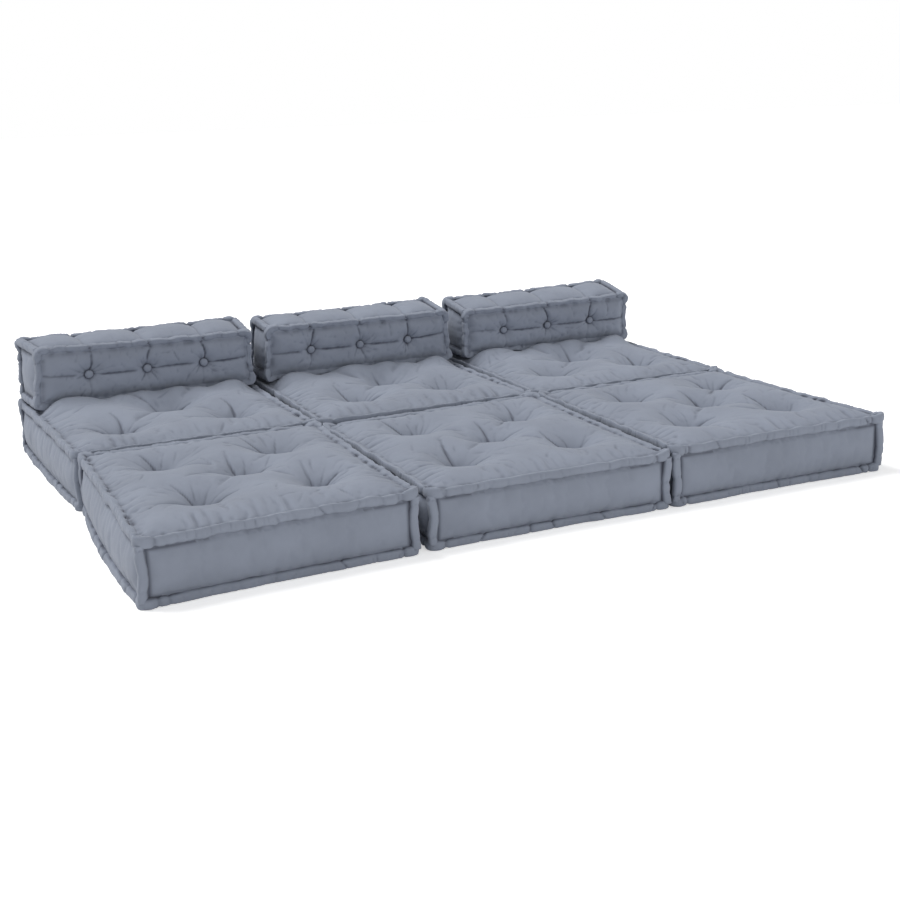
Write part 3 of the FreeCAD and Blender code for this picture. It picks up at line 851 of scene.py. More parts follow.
def painted_seam_shade(cushion, sizes, points):
    """Painted shade of each vertex of a cover: along the seams near it, in the stitch gaps, round the buttons
    and in the valleys between tufts.
    """
    x, y, z = points.T
    outer = cushion.from_side(x, y)
    from_corner = cushion.from_corner(x, y)
    roll = 2 * sizes.roll_radius
    high = hill(z - cushion.height + roll + 0.002, UPPER_SEAM_REACH)
    low = hill(z - 2 * sizes.lower_roll_radius, LOWER_SEAM_REACH)
    post = hill(from_corner - 2 * sizes.corner_radius - 0.001, POST_SEAM_REACH)
    beside = hill(outer - roll + 0.002, PANEL_SEAM_REACH)
    share = outline_share(cushion, x, y)
    stitch_gap_shade = np.clip(0.2 + stitch_gaps(cushion, share), 0, 1)
    chance = cushion.chance("painted seam shade")
    # The painted shade along the seams is made uneven round the outline.
    uneven_shade = np.clip(0.85 + 0.35 * uneven(share, chance, 8, 60, 6), 0.3, 1)
    border = BORDER_SHADE * (outer < 0.5 * roll) * np.maximum(np.maximum(high, low) * uneven_shade, post)
    panel = (outer > 0.5 * roll) * (z > cushion.height / 2) * beside * stitch_gap_shade
    if cushion.is_back:
        shade = BACK_SHADE * np.maximum(border, panel)
        for tuft_x, tuft_y in cushion.tufts:
            gap = np.hypot(x - tuft_x, y - tuft_y) - cushion.tie_radius
            shade = np.maximum(shade, BUTTON_SHADE * hill(gap, BUTTON_SEAM_REACH))
        return shade
    # Painted shade in the valleys between tufts, darker the deeper they lie below the crown.
    depth = np.clip((cushion.crown - VALLEY_START - z) / VALLEY_DEPTH, 0, 1)
    valley = (0.15 * depth + 0.35 * depth ** 3) * np.clip((outer - 1.5 * roll) / 0.04, 0, 1)
    return np.maximum(np.maximum(border, panel), valley)


# How much spare cloth each part of a cover has, as a share of the most, and how uneven it lies at first.
TOP_SPARE = 1.0
BORDER_SPARE = 0.25
BOTTOM_SPARE = 0.5
CLOTH_UNEVENNESS = 0.0003

# Width and depth of the creases of the best face.
SEAT_CREASE = (0.006, 0.011)
BACK_CREASE = (0.0042, 0.005)


def build_cover(cushion, sizes):
    """Closed cover of one cushion, stuffed, tufted and pulled into its folds."""
    grid = Grid(cushion, sizes)
    upper, upper_held = panel_start(cushion, sizes, grid, True)
    lower, lower_held = panel_start(cushion, sizes, grid, False)
    count = upper.size
    ids = np.arange(count).reshape(upper.shape)
    rows = border_rows(cushion, sizes, grid)
    around = len(grid.walk)
    low_rim = count + around * len(rows)
    strips = [[int(ids[r, c]) for r, c in grid.walk]]
    strips += [list(range(count + around * k, count + around * (k + 1))) for k in range(len(rows) + 1)]
    low_ids = np.full(upper.shape, -1)
    for index, (r, c) in enumerate(grid.walk):
        low_ids[r, c] = low_rim + index
    inner = low_ids < 0
    low_ids[inner] = low_rim + around + np.arange(inner.sum())
    rim = [(grid.x[r, c], grid.y[r, c], sizes.lower_roll_radius) for r, c in grid.walk]
    points = np.concatenate([np.stack([grid.x.ravel(), grid.y.ravel(), upper.ravel()], axis=1),
                             *[row for row, _ in rows], rim,
                             np.stack([grid.x[inner], grid.y[inner], -lower[inner]], axis=1)])
    held = np.concatenate([upper_held.ravel(), *[fixed for _, fixed in rows], np.ones(around, bool),
                           lower_held[inner]])
    spare = np.where(np.arange(len(points)) < count, TOP_SPARE, BORDER_SPARE)
    spare[low_rim:] = BOTTOM_SPARE
    chance = cushion.chance("cloth")
    points[~held] += chance.normal(0, CLOTH_UNEVENNESS, (int((~held).sum()), 3))

    closed = [strip + strip[:1] for strip in strips]
    sides = [(a, d, c, b) for a, b, c, d in quads(len(strips) - 1, around, closed)]
    top = quads(grid.rows, grid.columns, ids.tolist())
    bottom = [tuple(reversed(face)) for face in quads(grid.rows, grid.columns, low_ids.tolist())]
    if cushion.is_back:
        points = settle(points, top + sides + bottom, held, spare, sizes, pressure=3.0, stiffness=2.0)
    else:
        loose = low_rim + around
        points[:loose] = settle(points[:loose], top + sides, held[:loose], spare[:loose], sizes,
                                pressure=4.0, stiffness=1.5)
    if cushion.body.startswith("rear"):
        points[:count, 2] = bear_back(cushion, points[:count].reshape(*upper.shape, 3)).ravel()
    piece = new_piece(f"{cushion.body}_cover", points, top + sides + bottom)
    rounded(piece)
    press_creases(piece, cushion_folds(cushion, sizes), *(BACK_CREASE if cushion.is_back else SEAT_CREASE))
    fine_wrinkles(piece, cushion)
    points = coordinates(piece.data)
    outer = cushion.from_side(points[:, 0], points[:, 1])
    # Painted shade in the creases of the cloth: weaker on the border, stronger on the panels.
    border_crease_shade, panel_crease_shade = (0.35, 1.05) if cushion.is_back else (0.2, 0.9)
    creased = np.where(outer < sizes.roll_radius, border_crease_shade, panel_crease_shade)
    store_painted_shade(piece, seams=painted_seam_shade(cushion, sizes, points), creased=creased)
    put_in_place(piece, cushion)
    return piece


# Rolled edges

# Section of a roll, outward and upward in roll radii, with the seam's ridge at its top.
ROLL_SECTION = ((-0.8, -0.30), (-0.45, -0.86), (0.15, -1.02), (0.70, -0.88), (0.95, -0.45), (1.02, 0.05),
                (0.98, 0.50), (0.86, 0.86), (0.78, 1.12), (0.60, 0.95), (0.20, 0.92), (-0.30, 0.80),
                (-0.72, 0.48), (-0.90, 0.08))


SECTION_POINTS = 22
ROLL_STEP = 0.0036
ROLL_CORNER = 0.016


def even_points(line, count=None, step=None):
    """Even points along a closed line, either a count of them or about a step apart."""
    ring = np.vstack([line, line[:1]])
    way = np.concatenate([[0], np.cumsum(np.linalg.norm(np.diff(ring, axis=0), axis=1))])
    spots = np.linspace(0, way[-1], count or int(round(way[-1] / step)), endpoint=False)
    return np.stack([np.interp(spots, way, ring[:, k]) for k in range(2)], axis=1)


def rounded_outline(cushion, sizes):
    """Even points of the line that the rolls follow, with its corners rounded, counter-clockwise."""
    draw = sizes.back_draw if cushion.is_back else sizes.seat_draw
    half_x = cushion.half_x - sizes.roll_radius
    half_y = cushion.half_y - sizes.roll_radius
    corners = np.array([(-half_x, -half_y), (half_x, -half_y), (half_x, half_y), (-half_x, half_y)])
    line = []
    for side in range(4):
        start = corners[side]
        end = corners[(side + 1) % 4]
        length = np.linalg.norm(end - start)
        along = (end - start) / length
        inward = np.array([-along[1], along[0]])
        for t in np.linspace(ROLL_CORNER / length, 1 - ROLL_CORNER / length, 160):
            line.append(start + (end - start) * t + inward * draw * 4 * t * (1 - t))
        before = line[-1]
        after = end + inward * ROLL_CORNER
        for t in np.linspace(0, 1, 12)[1:-1]:
            line.append((1 - t) ** 2 * before + 2 * t * (1 - t) * end + t ** 2 * after)
    return even_points(line, step=ROLL_STEP)


# Rolls are pinched by slanting stitches, vary in thickness, pucker, wander sideways and wave up and down.
# They swell to ears at the corners, are tucked beside them, and open in slits at the long hand stitches.
STITCH_REACH = 0.0045
STITCH_SLANT = 0.01
ROLL_UNEVENNESS = 0.05
ROLL_PUCKER = 0.04
ROLL_WANDER = 0.0016
ROLL_WAVE = 0.0013
EAR_REACH = 0.017
EAR_SWELL = 0.26
TUCK_PLACE = 0.045
TUCK_REACH = 0.005
TUCK_DEPTH = 0.26
SLIT_WIDTH = 0.007
SLIT_DEPTH = 0.003
FLOOR_CLEAR = 0.0006


def roll_ring(cushion, sizes, upper, chance):
    """Vertices, as rings of a section, of the roll round the upper or lower edge, and the painted shade under
    it, on its inner side and in its pinches, tucks and slits.
    """
    path = rounded_outline(cushion, sizes)
    share = outline_share(cushion, path[:, 0], path[:, 1])
    tangent = np.roll(path, -1, axis=0) - np.roll(path, 1, axis=0)
    tangent /= np.linalg.norm(tangent, axis=1, keepdims=True)
    outward = np.stack([tangent[:, 1], -tangent[:, 0]], axis=1)
    section = even_points(ROLL_SECTION, count=SECTION_POINTS)
    if not upper:
        section = section * (1, -1)
    from_corner = cushion.from_corner(path[:, 0], path[:, 1])
    ear = hill(from_corner - sizes.roll_radius, EAR_REACH)
    tuck = hill(from_corner - TUCK_PLACE, TUCK_REACH)
    ridge = np.clip(section[:, 1] if upper else -section[:, 1], 0, 1) ** 2
    pull = pinch_pull(cushion, sizes, upper, share[:, None], STITCH_REACH, STITCH_SLANT * section[None, :, 1])
    spared = 0.2 if cushion.is_back else 0.6
    pull = pull * (1 - spared * ridge)[None, :]
    full = 1 + ROLL_UNEVENNESS * uneven(share, chance, 20, 70, 5) + EAR_SWELL * ear - TUCK_DEPTH * tuck
    pucker = ROLL_PUCKER * uneven(share, chance, 90, 260, 8)[:, None] * np.clip(section[None, :, 0], 0, 1)
    thick = sizes.roll_radius if upper else sizes.lower_roll_radius
    radius = thick * (full[:, None] * (1 - pull) + pucker)
    level = cushion.height - thick if upper else thick
    wander = ROLL_WANDER * uneven(share, chance, 6, 30, 5) + 0.002 * ear
    side = radius * section[None, :, 0] + wander[:, None]
    rise = radius * section[None, :, 1]
    if upper:
        rise += (ROLL_WAVE * uneven(share, chance, 6, 40, 5) + 0.003 * ear)[:, None]
    within = np.clip(-section[:, 0], 0, 1)
    if upper:
        slanted = share[:, None] + 0.002 * section[None, :, 0]
        opened = stitch_gaps(cushion, slanted) * np.clip(0.4 - section[None, :, 0], 0, 1)
        side += SLIT_WIDTH * opened
        rise -= SLIT_DEPTH * opened
        # From here the pull only sets painted shade, so the slits are darkened as well.
        pull = np.maximum(pull, 1.3 * opened)
    height = np.maximum(level + rise, FLOOR_CLEAR)
    flat = path[:, None, :] + outward[:, None, :] * side[:, :, None]
    # Painted shade: under the roll, on its inner side, in its pinches and tucks and in its slits, made uneven
    # round the outline.
    beneath = np.clip(-section[:, 1] if upper else section[:, 1], 0, 1) ** 6
    tucked = 0.5 * tuck[:, None] * np.clip(0.6 - ridge, 0, 1)[None, :]
    uneven_shade = np.clip(0.7 + 0.35 * uneven(share, chance, 8, 60, 6), 0.3, 1)[:, None]
    seams = uneven_shade * np.maximum(beneath, 0.6 * within)[None, :]
    shade = np.clip(seams + 0.9 * pull + tucked, 0, 1)
    return np.concatenate([flat, height[:, :, None]], axis=2), shade


# Corner rolls: their sections, the stitches that pinch them, the ridge of their seam and how far they sway.
POST_POINTS = 18
POST_STEP = 0.004
POST_STITCH_SPACING = 0.045
POST_STITCH_STRAY = 0.012
POST_STITCH_REACH = 0.006
POST_RIDGE = 0.22
POST_SWAY = 0.002


def corner_roll(cushion, sizes, corner_x, corner_y, chance):
    """Vertices of one upright roll and the painted shade on its inner sides, where the border meets it."""
    angles = np.linspace(0, 2 * math.pi, POST_POINTS, endpoint=False)
    tall = cushion.height - 2.4 * sizes.roll_radius
    up = np.linspace(0, tall, max(int(round(tall / POST_STEP)), 6) + 1)
    swell = np.ones((len(up), POST_POINTS))
    stitches = max(round(tall / POST_STITCH_SPACING), 1)
    for spot in np.arange(0.5, stitches) / stitches * tall:
        stray = chance.uniform(-POST_STITCH_STRAY, POST_STITCH_STRAY)
        gap = up[:, None] - spot - stray + 0.005 * np.sin(angles)[None, :]
        swell -= chance.uniform(0.08, 0.25) * hill(gap, POST_STITCH_REACH)
    outer = math.atan2(corner_y, corner_x)
    turn = (angles - outer + math.pi) % (2 * math.pi) - math.pi
    swell += POST_RIDGE * hill(turn, 0.35)[None, :]
    sway = POST_SWAY * np.sin(up / tall * chance.uniform(4, 9) + chance.uniform(0, 6))
    radius = sizes.corner_radius * swell
    inset = sizes.corner_radius + 0.001
    post = np.empty((len(up), POST_POINTS, 3))
    post[:, :, 0] = corner_x * (cushion.half_x - inset) + sway[:, None] + radius * np.cos(angles)[None, :]
    post[:, :, 1] = corner_y * (cushion.half_y - inset) - sway[:, None] + radius * np.sin(angles)[None, :]
    post[:, :, 2] = (1.2 * sizes.roll_radius + up)[:, None]
    # Painted shade on the inner sides of the post, where the border meets it.
    shade = np.tile(np.clip((abs(turn) - 1.5) / 0.4, 0, 0.95), (len(up), 1))
    return post, shade


def build_rolls(cushion, sizes):
    """Rolled edges of one cushion: an upper and a lower ring and four upright corner rolls."""
    chance = cushion.chance("rolls")
    rings = [roll_ring(cushion, sizes, upper, chance) for upper in (True, False)]
    posts = [corner_roll(cushion, sizes, x, y, chance) for x in (-1, 1) for y in (-1, 1)]
    faces = []
    start = 0
    for index, (_, shade) in enumerate(rings + posts):
        ids = start + np.arange(shade.size).reshape(shade.shape)
        looped = np.hstack([ids, ids[:, :1]])
        if index < len(rings):
            looped = np.vstack([looped, looped[:1]])
        cells = quads(looped.shape[0] - 1, looped.shape[1] - 1, looped.tolist())
        faces += [tuple(reversed(face)) for face in cells] if index == 0 else cells
        if index >= len(rings):
            faces.append(tuple(ids[0][::-1].tolist()))
            faces.append(tuple(ids[-1].tolist()))
        start += shade.size
    vertices = np.concatenate([points.reshape(-1, 3) for points, _ in rings + posts])
    piece = new_piece(f"{cushion.body}_rolls", vertices, faces)
    store_painted_shade(piece, seams=np.concatenate([shade.ravel() for _, shade in rings + posts]))
    put_in_place(piece, cushion)
    return piece


# Buttons and tuft ties

def turned_piece(profile, around):
    """Vertices and faces of a closed form turned about the upright axis from (radius, height) points."""
    angles = np.linspace(0, 2 * math.pi, around, endpoint=False)
    vertices = [(0.0, 0.0, profile[0][1])]
    faces = []
    for radius, height in profile[1:-1]:
        vertices += [(radius * math.cos(a), radius * math.sin(a), height) for a in angles]
    vertices.append((0.0, 0.0, profile[-1][1]))
    rings = len(profile) - 2
    for ring in range(rings - 1):
        low = 1 + ring * around
        for k in range(around):
            after = (k + 1) % around
            faces.append((low + k, low + after, low + around + after, low + around + k))
    last = 1 + (rings - 1) * around
    for k in range(around):
        after = (k + 1) % around
        faces.append((0, 1 + after, 1 + k))
        faces.append((last + k, last + after, len(vertices) - 1))
    return np.array(vertices), faces


# Turned profile of a button: share of its radius, and height.
BUTTON_PROFILE = ((0, -0.002), (0.6, -0.002), (0.92, 0.0005), (1, 0.0032), (0.97, 0.0052), (0.86, 0.0072),
                  (0.66, 0.0088), (0.36, 0.0098), (0, 0.0101))
BUTTON_POINTS = 28
BUTTON_SHARE = 0.96
BUTTON_LIFT = 0.002
REAR_BUTTON_LEVEL = 0.0115
PLEATS = 11
PLEAT_DEPTH = 0.00045


def build_buttons(cushion, sizes):
    """Cloth-covered buttons on both faces of a back."""
    radius = cushion.tie_radius * BUTTON_SHARE
    shape, button_faces = turned_piece([(radius * share, height) for share, height in BUTTON_PROFILE],
                                       BUTTON_POINTS)
    chance = cushion.chance("buttons")
    vertices = []
    faces = []
    for x, y in cushion.tufts:
        for front in (True, False):
            dent = shape.copy()
            angle = np.arctan2(shape[:, 1], shape[:, 0])
            rim = np.clip(np.hypot(shape[:, 0], shape[:, 1]) / radius, 0, 1) ** 4
            pleat = PLEAT_DEPTH * np.sin(PLEATS * angle + chance.uniform(0, 6)) * rim
            dent[:, 0] += pleat * np.cos(angle)
            dent[:, 1] += pleat * np.sin(angle)
            if front:
                dent[:, 2] += cushion.crown - sizes.back_tuft_depth + BUTTON_LIFT
            else:
                dent[:, 2] = REAR_BUTTON_LEVEL - dent[:, 2]
            dent[:, 0] += x
            dent[:, 1] += y
            start = sum(len(block) for block in vertices)
            vertices.append(dent)
            for face in button_faces:
                moved = tuple(start + i for i in face)
                faces.append(moved if front else tuple(reversed(moved)))
    piece = new_piece(f"{cushion.body}_button_caps", np.concatenate(vertices), faces)
    rounded(piece)
    piece.data.shade_smooth()
    store_painted_shade(piece)
    put_in_place(piece, cushion)
    return piece


# Two crossed stitches of twine at each end of a tie.
TWINE_RADIUS = 0.0011
TWINE_POINTS = 8
TWINE_STEPS = 8
STITCH_HALF = 0.005
STITCH_ARCH = 0.0012
STITCH_CROSSING = 1.1
STITCH_LIFT = 0.0008
LOWER_STITCH_LEVEL = 0.0125


def build_ties(cushion, sizes):
    """Twine stitches at the bottom of each tuft of a seat, above and below."""
    chance = cushion.chance("ties")
    vertices = []
    faces = []
    angles = np.linspace(0, 2 * math.pi, TWINE_POINTS, endpoint=False)
    for (x, y), drawn in zip(cushion.tufts, cushion.drawn):
        for level in (cushion.crown - drawn * sizes.seat_tuft_depth + STITCH_LIFT, LOWER_STITCH_LEVEL):
            turn = chance.uniform(0, math.pi)
            for arm in (turn, turn + STITCH_CROSSING):
                along = np.array([math.cos(arm), math.sin(arm), 0.0])
                aside = np.array([-math.sin(arm), math.cos(arm), 0.0])
                ids = []
                for step in range(TWINE_STEPS + 1):
                    share = step / TWINE_STEPS * 2 - 1
                    radius = TWINE_RADIUS * math.sqrt(max(1 - share ** 6, 0.02))
                    middle = np.array([x, y, level]) + along * share * STITCH_HALF
                    middle[2] += STITCH_ARCH * (1 - share ** 2)
                    ring = middle + radius * (np.cos(angles)[:, None] * aside
                                              + np.sin(angles)[:, None] * np.array([0.0, 0.0, 1.0]))
                    start = sum(len(block) for block in vertices)
                    ids.append(list(range(start, start + TWINE_POINTS)) + [start])
                    vertices.append(ring)
                faces += [tuple(reversed(face)) for face in quads(TWINE_STEPS, TWINE_POINTS, ids)]
                faces.append(tuple(ids[0][:-1]))
                faces.append(tuple(reversed(ids[-1][:-1])))
    piece = new_piece(f"{cushion.body}_tie_stitches", np.concatenate(vertices), faces)
    store_painted_shade(piece)
    put_in_place(piece, cushion)
    return piece


# Materials

COVER_THREADS = 4500.0
TWINE_THREADS = 2400.0
WEAVE_RELIEF = 0.0006
DYE_RANGE = (0.925, 1.075)


def feed(tree, socket, value):
    """Links an output to a socket, or sets the socket to a plain value."""
    if isinstance(value, bpy.types.NodeSocket):
        tree.links.new(value, socket)
    else:
        socket.default_value = value


def add_node(tree, kind, place, *first, **named):
    """New node with its settings and named inputs, and its first inputs in their order."""
    node = tree.nodes.new(kind)
    node.location = place
    for name, value in named.items():
        if hasattr(node, name):
            setattr(node, name, value)
        else:
            feed(tree, node.inputs[name], value)
    for socket, value in zip(node.inputs, first):
        feed(tree, socket, value)
    return node


def new_group(name, inputs, outputs):
    """Shader node group with named inputs and outputs, and the nodes at its two ends."""
    group = bpy.data.node_groups.new(name, "ShaderNodeTree")
    for in_out, sockets in (("INPUT", inputs), ("OUTPUT", outputs)):
        for socket, kind in sockets.items():
            group.interface.new_socket(socket, in_out=in_out, socket_type=f"NodeSocket{kind}")
    inside = add_node(group, "NodeGroupInput", (-900, 0))
    outside = add_node(group, "NodeGroupOutput", (700, 0))
    return group, inside, outside


def weave_group():
    """Plain weave as a height, worked out from object coordinates."""
    if "Cotton Weave" in bpy.data.node_groups:
        return bpy.data.node_groups["Cotton Weave"]
    group, inside, outside = new_group("Cotton Weave", {"Threads": "Float"}, {"Height": "Float"})
    where = add_node(group, "ShaderNodeTexCoord", (-900, -200))
    scaled = add_node(group, "ShaderNodeVectorMath", (-650, -100), where.outputs["Object"],
                      operation="SCALE", Scale=inside.outputs["Threads"])
    apart = add_node(group, "ShaderNodeSeparateXYZ", (-450, -100), scaled.outputs[0])
    waves = []
    for index, axis in enumerate("XYZ"):
        wave = add_node(group, "ShaderNodeMath", (-250, 120 - 140 * index), apart.outputs[axis],
                        operation="SINE")
        waves.append(wave.outputs[0])
    crossed = add_node(group, "ShaderNodeMath", (-50, 80), waves[0], waves[1], operation="MULTIPLY")
    raised = add_node(group, "ShaderNodeMath", (130, 20), waves[2], 0.5, crossed.outputs[0],
                      operation="MULTIPLY_ADD")
    feed(group, outside.inputs["Height"], raised.outputs[0])
    return group


def dye_and_painted_shade_group():
    """Colour of cotton: uneven dye, and painted shade where the cloth lies in folds and seams."""
    if "Cotton Tone" in bpy.data.node_groups:
        return bpy.data.node_groups["Cotton Tone"]
    group, inside, outside = new_group(
        "Cotton Tone", {"Cloth": "Color", "Shade": "Color", "Fold Share": "Float"}, {"Color": "Color"})
    where = add_node(group, "ShaderNodeTexCoord", (-900, -300))
    dye = add_node(group, "ShaderNodeTexNoise", (-650, -260), where.outputs["Object"],
                   Scale=7.0, Detail=4.0, Roughness=0.55)
    spread = add_node(group, "ShaderNodeMapRange", (-430, -260), dye.outputs["Fac"], 0.3, 0.7, *DYE_RANGE)
    dyed = add_node(group, "ShaderNodeVectorMath", (-200, -60), inside.outputs["Cloth"],
                    operation="SCALE", Scale=spread.outputs["Result"])
    fold = add_node(group, "ShaderNodeAttribute", (-430, 260), attribute_name="fold")
    share = add_node(group, "ShaderNodeMath", (-200, 200), fold.outputs["Fac"], inside.outputs["Fold Share"],
                     operation="MULTIPLY")
    # Painted shade: the dyed colour is mixed towards the shade colour by the stored shade of each vertex.
    mix = add_node(group, "ShaderNodeMix", (250, 60), share.outputs[0], data_type="RGBA")
    feed(group, mix.inputs[6], dyed.outputs[0])
    feed(group, mix.inputs[7], inside.outputs["Shade"])
    feed(group, outside.inputs["Color"], mix.outputs[2])
    return group


def cloth_material(name, colour, shade, painted_shade_share, threads, bump, roughness):
    """Matt woven cotton with its own colour, weave and depth of painted shade in the folds and seams."""
    if name in bpy.data.materials:
        return bpy.data.materials[name]
    material = bpy.data.materials.new(name)
    material.use_nodes = True
    tree = material.node_tree
    dye_and_shade = add_node(tree, "ShaderNodeGroup", (-500, 200), (*colour, 1.0), (*shade, 1.0), painted_shade_share,
                    node_tree=dye_and_painted_shade_group())
    weave = add_node(tree, "ShaderNodeGroup", (-700, -200), threads, node_tree=weave_group())
    relief = add_node(tree, "ShaderNodeBump", (-300, -250), Strength=bump, Distance=WEAVE_RELIEF,
                      Height=weave.outputs["Height"])
    finish = {
        "Base Color": dye_and_shade.outputs["Color"],
        "Normal": relief.outputs["Normal"],
        "Roughness": roughness,
        "Specular IOR Level": 0.22,
        "Sheen Weight": 0.12,
        "Sheen Roughness": 0.5,
    }
    for socket, value in finish.items():
        feed(tree, tree.nodes["Principled BSDF"].inputs[socket], value)
    return material


def finish_piece(piece, body, material, replaced):
    """Gives a piece its finish, ties it to its body and hides the plain solids it stands for."""
    piece.data.materials.clear()
    piece.data.materials.append(material)
    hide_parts(*replaced)
    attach(piece, body)


def cotton(context, name, painted_shade_share, bump=0.1):
    """Cotton of the covers, rolls and buttons."""
    colours = context.scene.sofa_colours
    return cloth_material(name, colours.cotton, colours.painted_shade_colour, painted_shade_share, COVER_THREADS, bump,
                          roughness=0.9)


def twine(context):
    """Twine of the tufts."""
    colours = context.scene.sofa_colours
    return cloth_material("Tuft twine", colours.thread, colours.painted_shade_colour, 0.5, TWINE_THREADS, bump=0.4,
                          roughness=0.8)


# Stage

CAMERA_SENSOR = 36.0
CAMERA_LENS = 53.96
CAMERA_PLACE = (-1.607, -3.591, 1.109)
CAMERA_HEADING = math.radians(24.90)
CAMERA_PITCH = math.radians(15.36)
CAMERA_ROLL = math.radians(-1.44)
FLOOR_REACH = 30
FLOOR_LEVEL = -0.0005
FLOOR_GLOW = 0.5
WORLD_LIGHT = 0.30


def add_camera():
    """Camera at the photograph's view: heading to the right of +Y, pitch down and roll."""
    camera = bpy.data.objects.new("photo_camera", bpy.data.cameras.new("photo_camera"))
    bpy.context.scene.collection.objects.link(camera)
    camera.data.sensor_width = CAMERA_SENSOR
    camera.data.lens = CAMERA_LENS
    camera.location = CAMERA_PLACE
    level = Matrix.Rotation(-CAMERA_HEADING, 3, "Z") @ Matrix.Rotation(math.pi / 2 - CAMERA_PITCH, 3, "X")
    camera.rotation_euler = (level @ Matrix.Rotation(CAMERA_ROLL, 3, "Z")).to_euler()
    return camera


def add_softbox(name, towards, strength, spread):
    """Wide soft light from far away, from the direction given."""
    lamp = bpy.data.objects.new(name, bpy.data.lights.new(name, "SUN"))
    lamp.data.energy = strength
    lamp.data.angle = math.radians(spread)
    lamp.rotation_euler = Vector(towards).to_track_quat("Z", "Y").to_euler()
    bpy.context.scene.collection.objects.link(lamp)


def seen_directly(tree):
    """One where a ray comes from the camera, a mirror or glass, and zero for the light on the object."""
    path = add_node(tree, "ShaderNodeLightPath", (-900, -300))
    camera_or_mirror = add_node(tree, "ShaderNodeMath", (-700, -300), path.outputs["Is Camera Ray"],
                                path.outputs["Is Glossy Ray"], operation="MAXIMUM")
    direct = add_node(tree, "ShaderNodeMath", (-500, -300), camera_or_mirror.outputs[0],
                      path.outputs["Is Transmission Ray"], operation="MAXIMUM")
    return direct.outputs[0]


def studio_world():
    """White surroundings that light the object at a plain level."""
    world = bpy.data.worlds.new("Studio")
    world.use_nodes = True
    tree = world.node_tree
    background = tree.nodes["Background"]
    strength = add_node(tree, "ShaderNodeMapRange", (-200, -200), seen_directly(tree),
                        0.0, 1.0, WORLD_LIGHT, 1.0)
    feed(tree, background.inputs["Color"], (1, 1, 1, 1))
    feed(tree, background.inputs["Strength"], strength.outputs["Result"])
    return world


def floor_material(colour):
    """Pale floor that keeps the object's shadow and otherwise melts into the white surroundings."""
    material = bpy.data.materials.new("Studio floor")
    material.use_nodes = True
    tree = material.node_tree
    glow = add_node(tree, "ShaderNodeMath", (-200, -350), seen_directly(tree), FLOOR_GLOW,
                    operation="MULTIPLY")
    finish = {
        "Base Color": (*colour, 1.0),
        "Roughness": 0.9,
        "Specular IOR Level": 0.0,
        "Emission Color": (1, 1, 1, 1),
        "Emission Strength": glow.outputs[0],
    }
    for socket, value in finish.items():
        feed(tree, tree.nodes["Principled BSDF"].inputs[socket], value)
    return material


# Operators

class SOFA_OT_covers(bpy.types.Operator):
    """Sew, stuff and tuft the covers of all cushions"""

    bl_idname = "sofa.covers"
    bl_label = "Stuffed covers"

    def execute(self, context):
        sizes = context.scene.sofa_sizes
        material = cotton(context, "Cotton cover", painted_shade_share=0.88)
        for cushion in CUSHIONS.values():
            piece = build_cover(cushion, sizes)
            panels = ("front_panel", "rear_panel") if cushion.is_back else ("top_panel", "bottom_panel")
            finish_piece(piece, cushion.body, material,
                         cushion.cad(*panels, "border", "fill"))
        return {"FINISHED"}


class SOFA_OT_rolls(bpy.types.Operator):
    """Roll and pinch the edges of all cushions"""

    bl_idname = "sofa.rolls"
    bl_label = "Rolled edges"

    def execute(self, context):
        sizes = context.scene.sofa_sizes
        material = cotton(context, "Rolled cotton", painted_shade_share=0.9)
        for cushion in CUSHIONS.values():
            piece = build_rolls(cushion, sizes)
            finish_piece(piece, cushion.body, material,
                         cushion.cad("rolled_edges"))
        return {"FINISHED"}


class SOFA_OT_buttons(bpy.types.Operator):
    """Cover and set the buttons of the backs"""

    bl_idname = "sofa.buttons"
    bl_label = "Covered buttons"

    def execute(self, context):
        sizes = context.scene.sofa_sizes
        material = cotton(context, "Button cotton", painted_shade_share=0.4, bump=0.35)
        for body in BACKS:
            cushion = CUSHIONS[body]
            piece = build_buttons(cushion, sizes)
            finish_piece(piece, body, material, cushion.cad("buttons"))
            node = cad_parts[f"{body}_tuft_twines"]
            node.data.materials.clear()
            node.data.materials.append(twine(context))
        return {"FINISHED"}


class SOFA_OT_ties(bpy.types.Operator):
    """Tie the tufts of the seats with twine"""

    bl_idname = "sofa.ties"
    bl_label = "Tuft ties"

    def execute(self, context):
        sizes = context.scene.sofa_sizes
        for body in SEATS:
            cushion = CUSHIONS[body]
            piece = build_ties(cushion, sizes)
            finish_piece(piece, body, twine(context), cushion.cad("tuft_ties"))
        return {"FINISHED"}


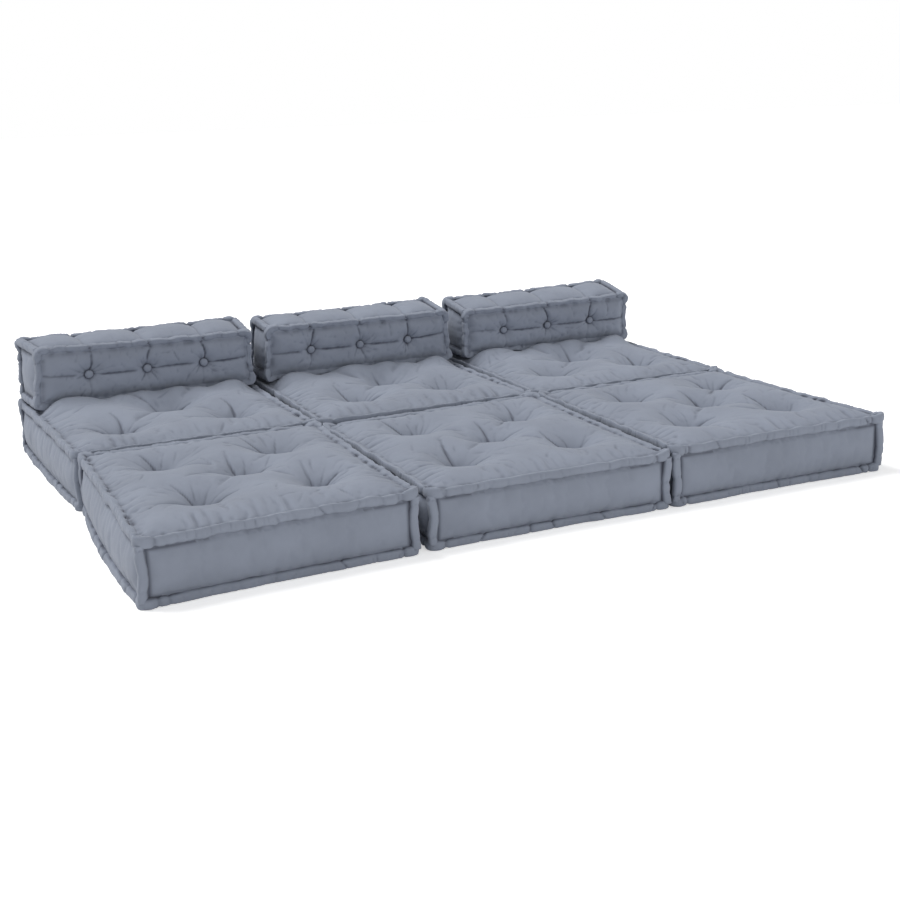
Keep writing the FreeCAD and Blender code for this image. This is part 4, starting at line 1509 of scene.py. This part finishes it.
class SOFA_OT_stage(bpy.types.Operator):
    """Set up the floor, the studio light and the camera"""

    bl_idname = "sofa.stage"
    bl_label = "Stage"

    def execute(self, context):
        scene = context.scene
        scene.view_settings.view_transform = "Standard"
        corners = [(x * FLOOR_REACH, y * FLOOR_REACH, FLOOR_LEVEL)
                   for x, y in ((-1, -1), (1, -1), (1, 1), (-1, 1))]
        floor = new_piece("studio_floor", corners, [(0, 1, 2, 3)])
        floor.data.materials.append(floor_material(scene.sofa_colours.floor))
        scene.world = studio_world()
        add_softbox("overhead_softbox", towards=(-0.46, 0.42, 1.0), strength=2.35, spread=25)
        add_softbox("front_fill", towards=(0.30, -1.0, 0.2), strength=1.22, spread=60)
        scene.camera = add_camera()
        return {"FINISHED"}


class SOFA_PT_sidebar(bpy.types.Panel):
    """Lists the pieces of the floor sofa and their sizes and colours"""

    bl_idname = "SOFA_PT_sidebar"
    bl_label = "Floor Sofa"
    bl_space_type = "VIEW_3D"
    bl_region_type = "UI"
    bl_category = "Floor Sofa"

    def draw(self, context):
        layout = self.layout
        for operator in OPERATORS:
            layout.operator(operator.bl_idname, text=operator.bl_label)
        for group in (context.scene.sofa_sizes, context.scene.sofa_colours):
            box = layout.box()
            for name in group.__annotations__:
                box.prop(group, name)


OPERATORS = (SOFA_OT_covers, SOFA_OT_rolls, SOFA_OT_buttons, SOFA_OT_ties, SOFA_OT_stage)
CLASSES = (SofaSizes, SofaColours, *OPERATORS, SOFA_PT_sidebar)


def register():
    for item in CLASSES:
        bpy.utils.register_class(item)
    bpy.types.Scene.sofa_sizes = PointerProperty(type=SofaSizes)
    bpy.types.Scene.sofa_colours = PointerProperty(type=SofaColours)


def unregister():
    del bpy.types.Scene.sofa_colours
    del bpy.types.Scene.sofa_sizes
    for item in reversed(CLASSES):
        bpy.utils.unregister_class(item)


def main():
    register()
    bpy.ops.sofa.covers()
    bpy.ops.sofa.rolls()
    bpy.ops.sofa.buttons()
    bpy.ops.sofa.ties()
    bpy.ops.sofa.stage()


if __name__ == "__main__":
    main()
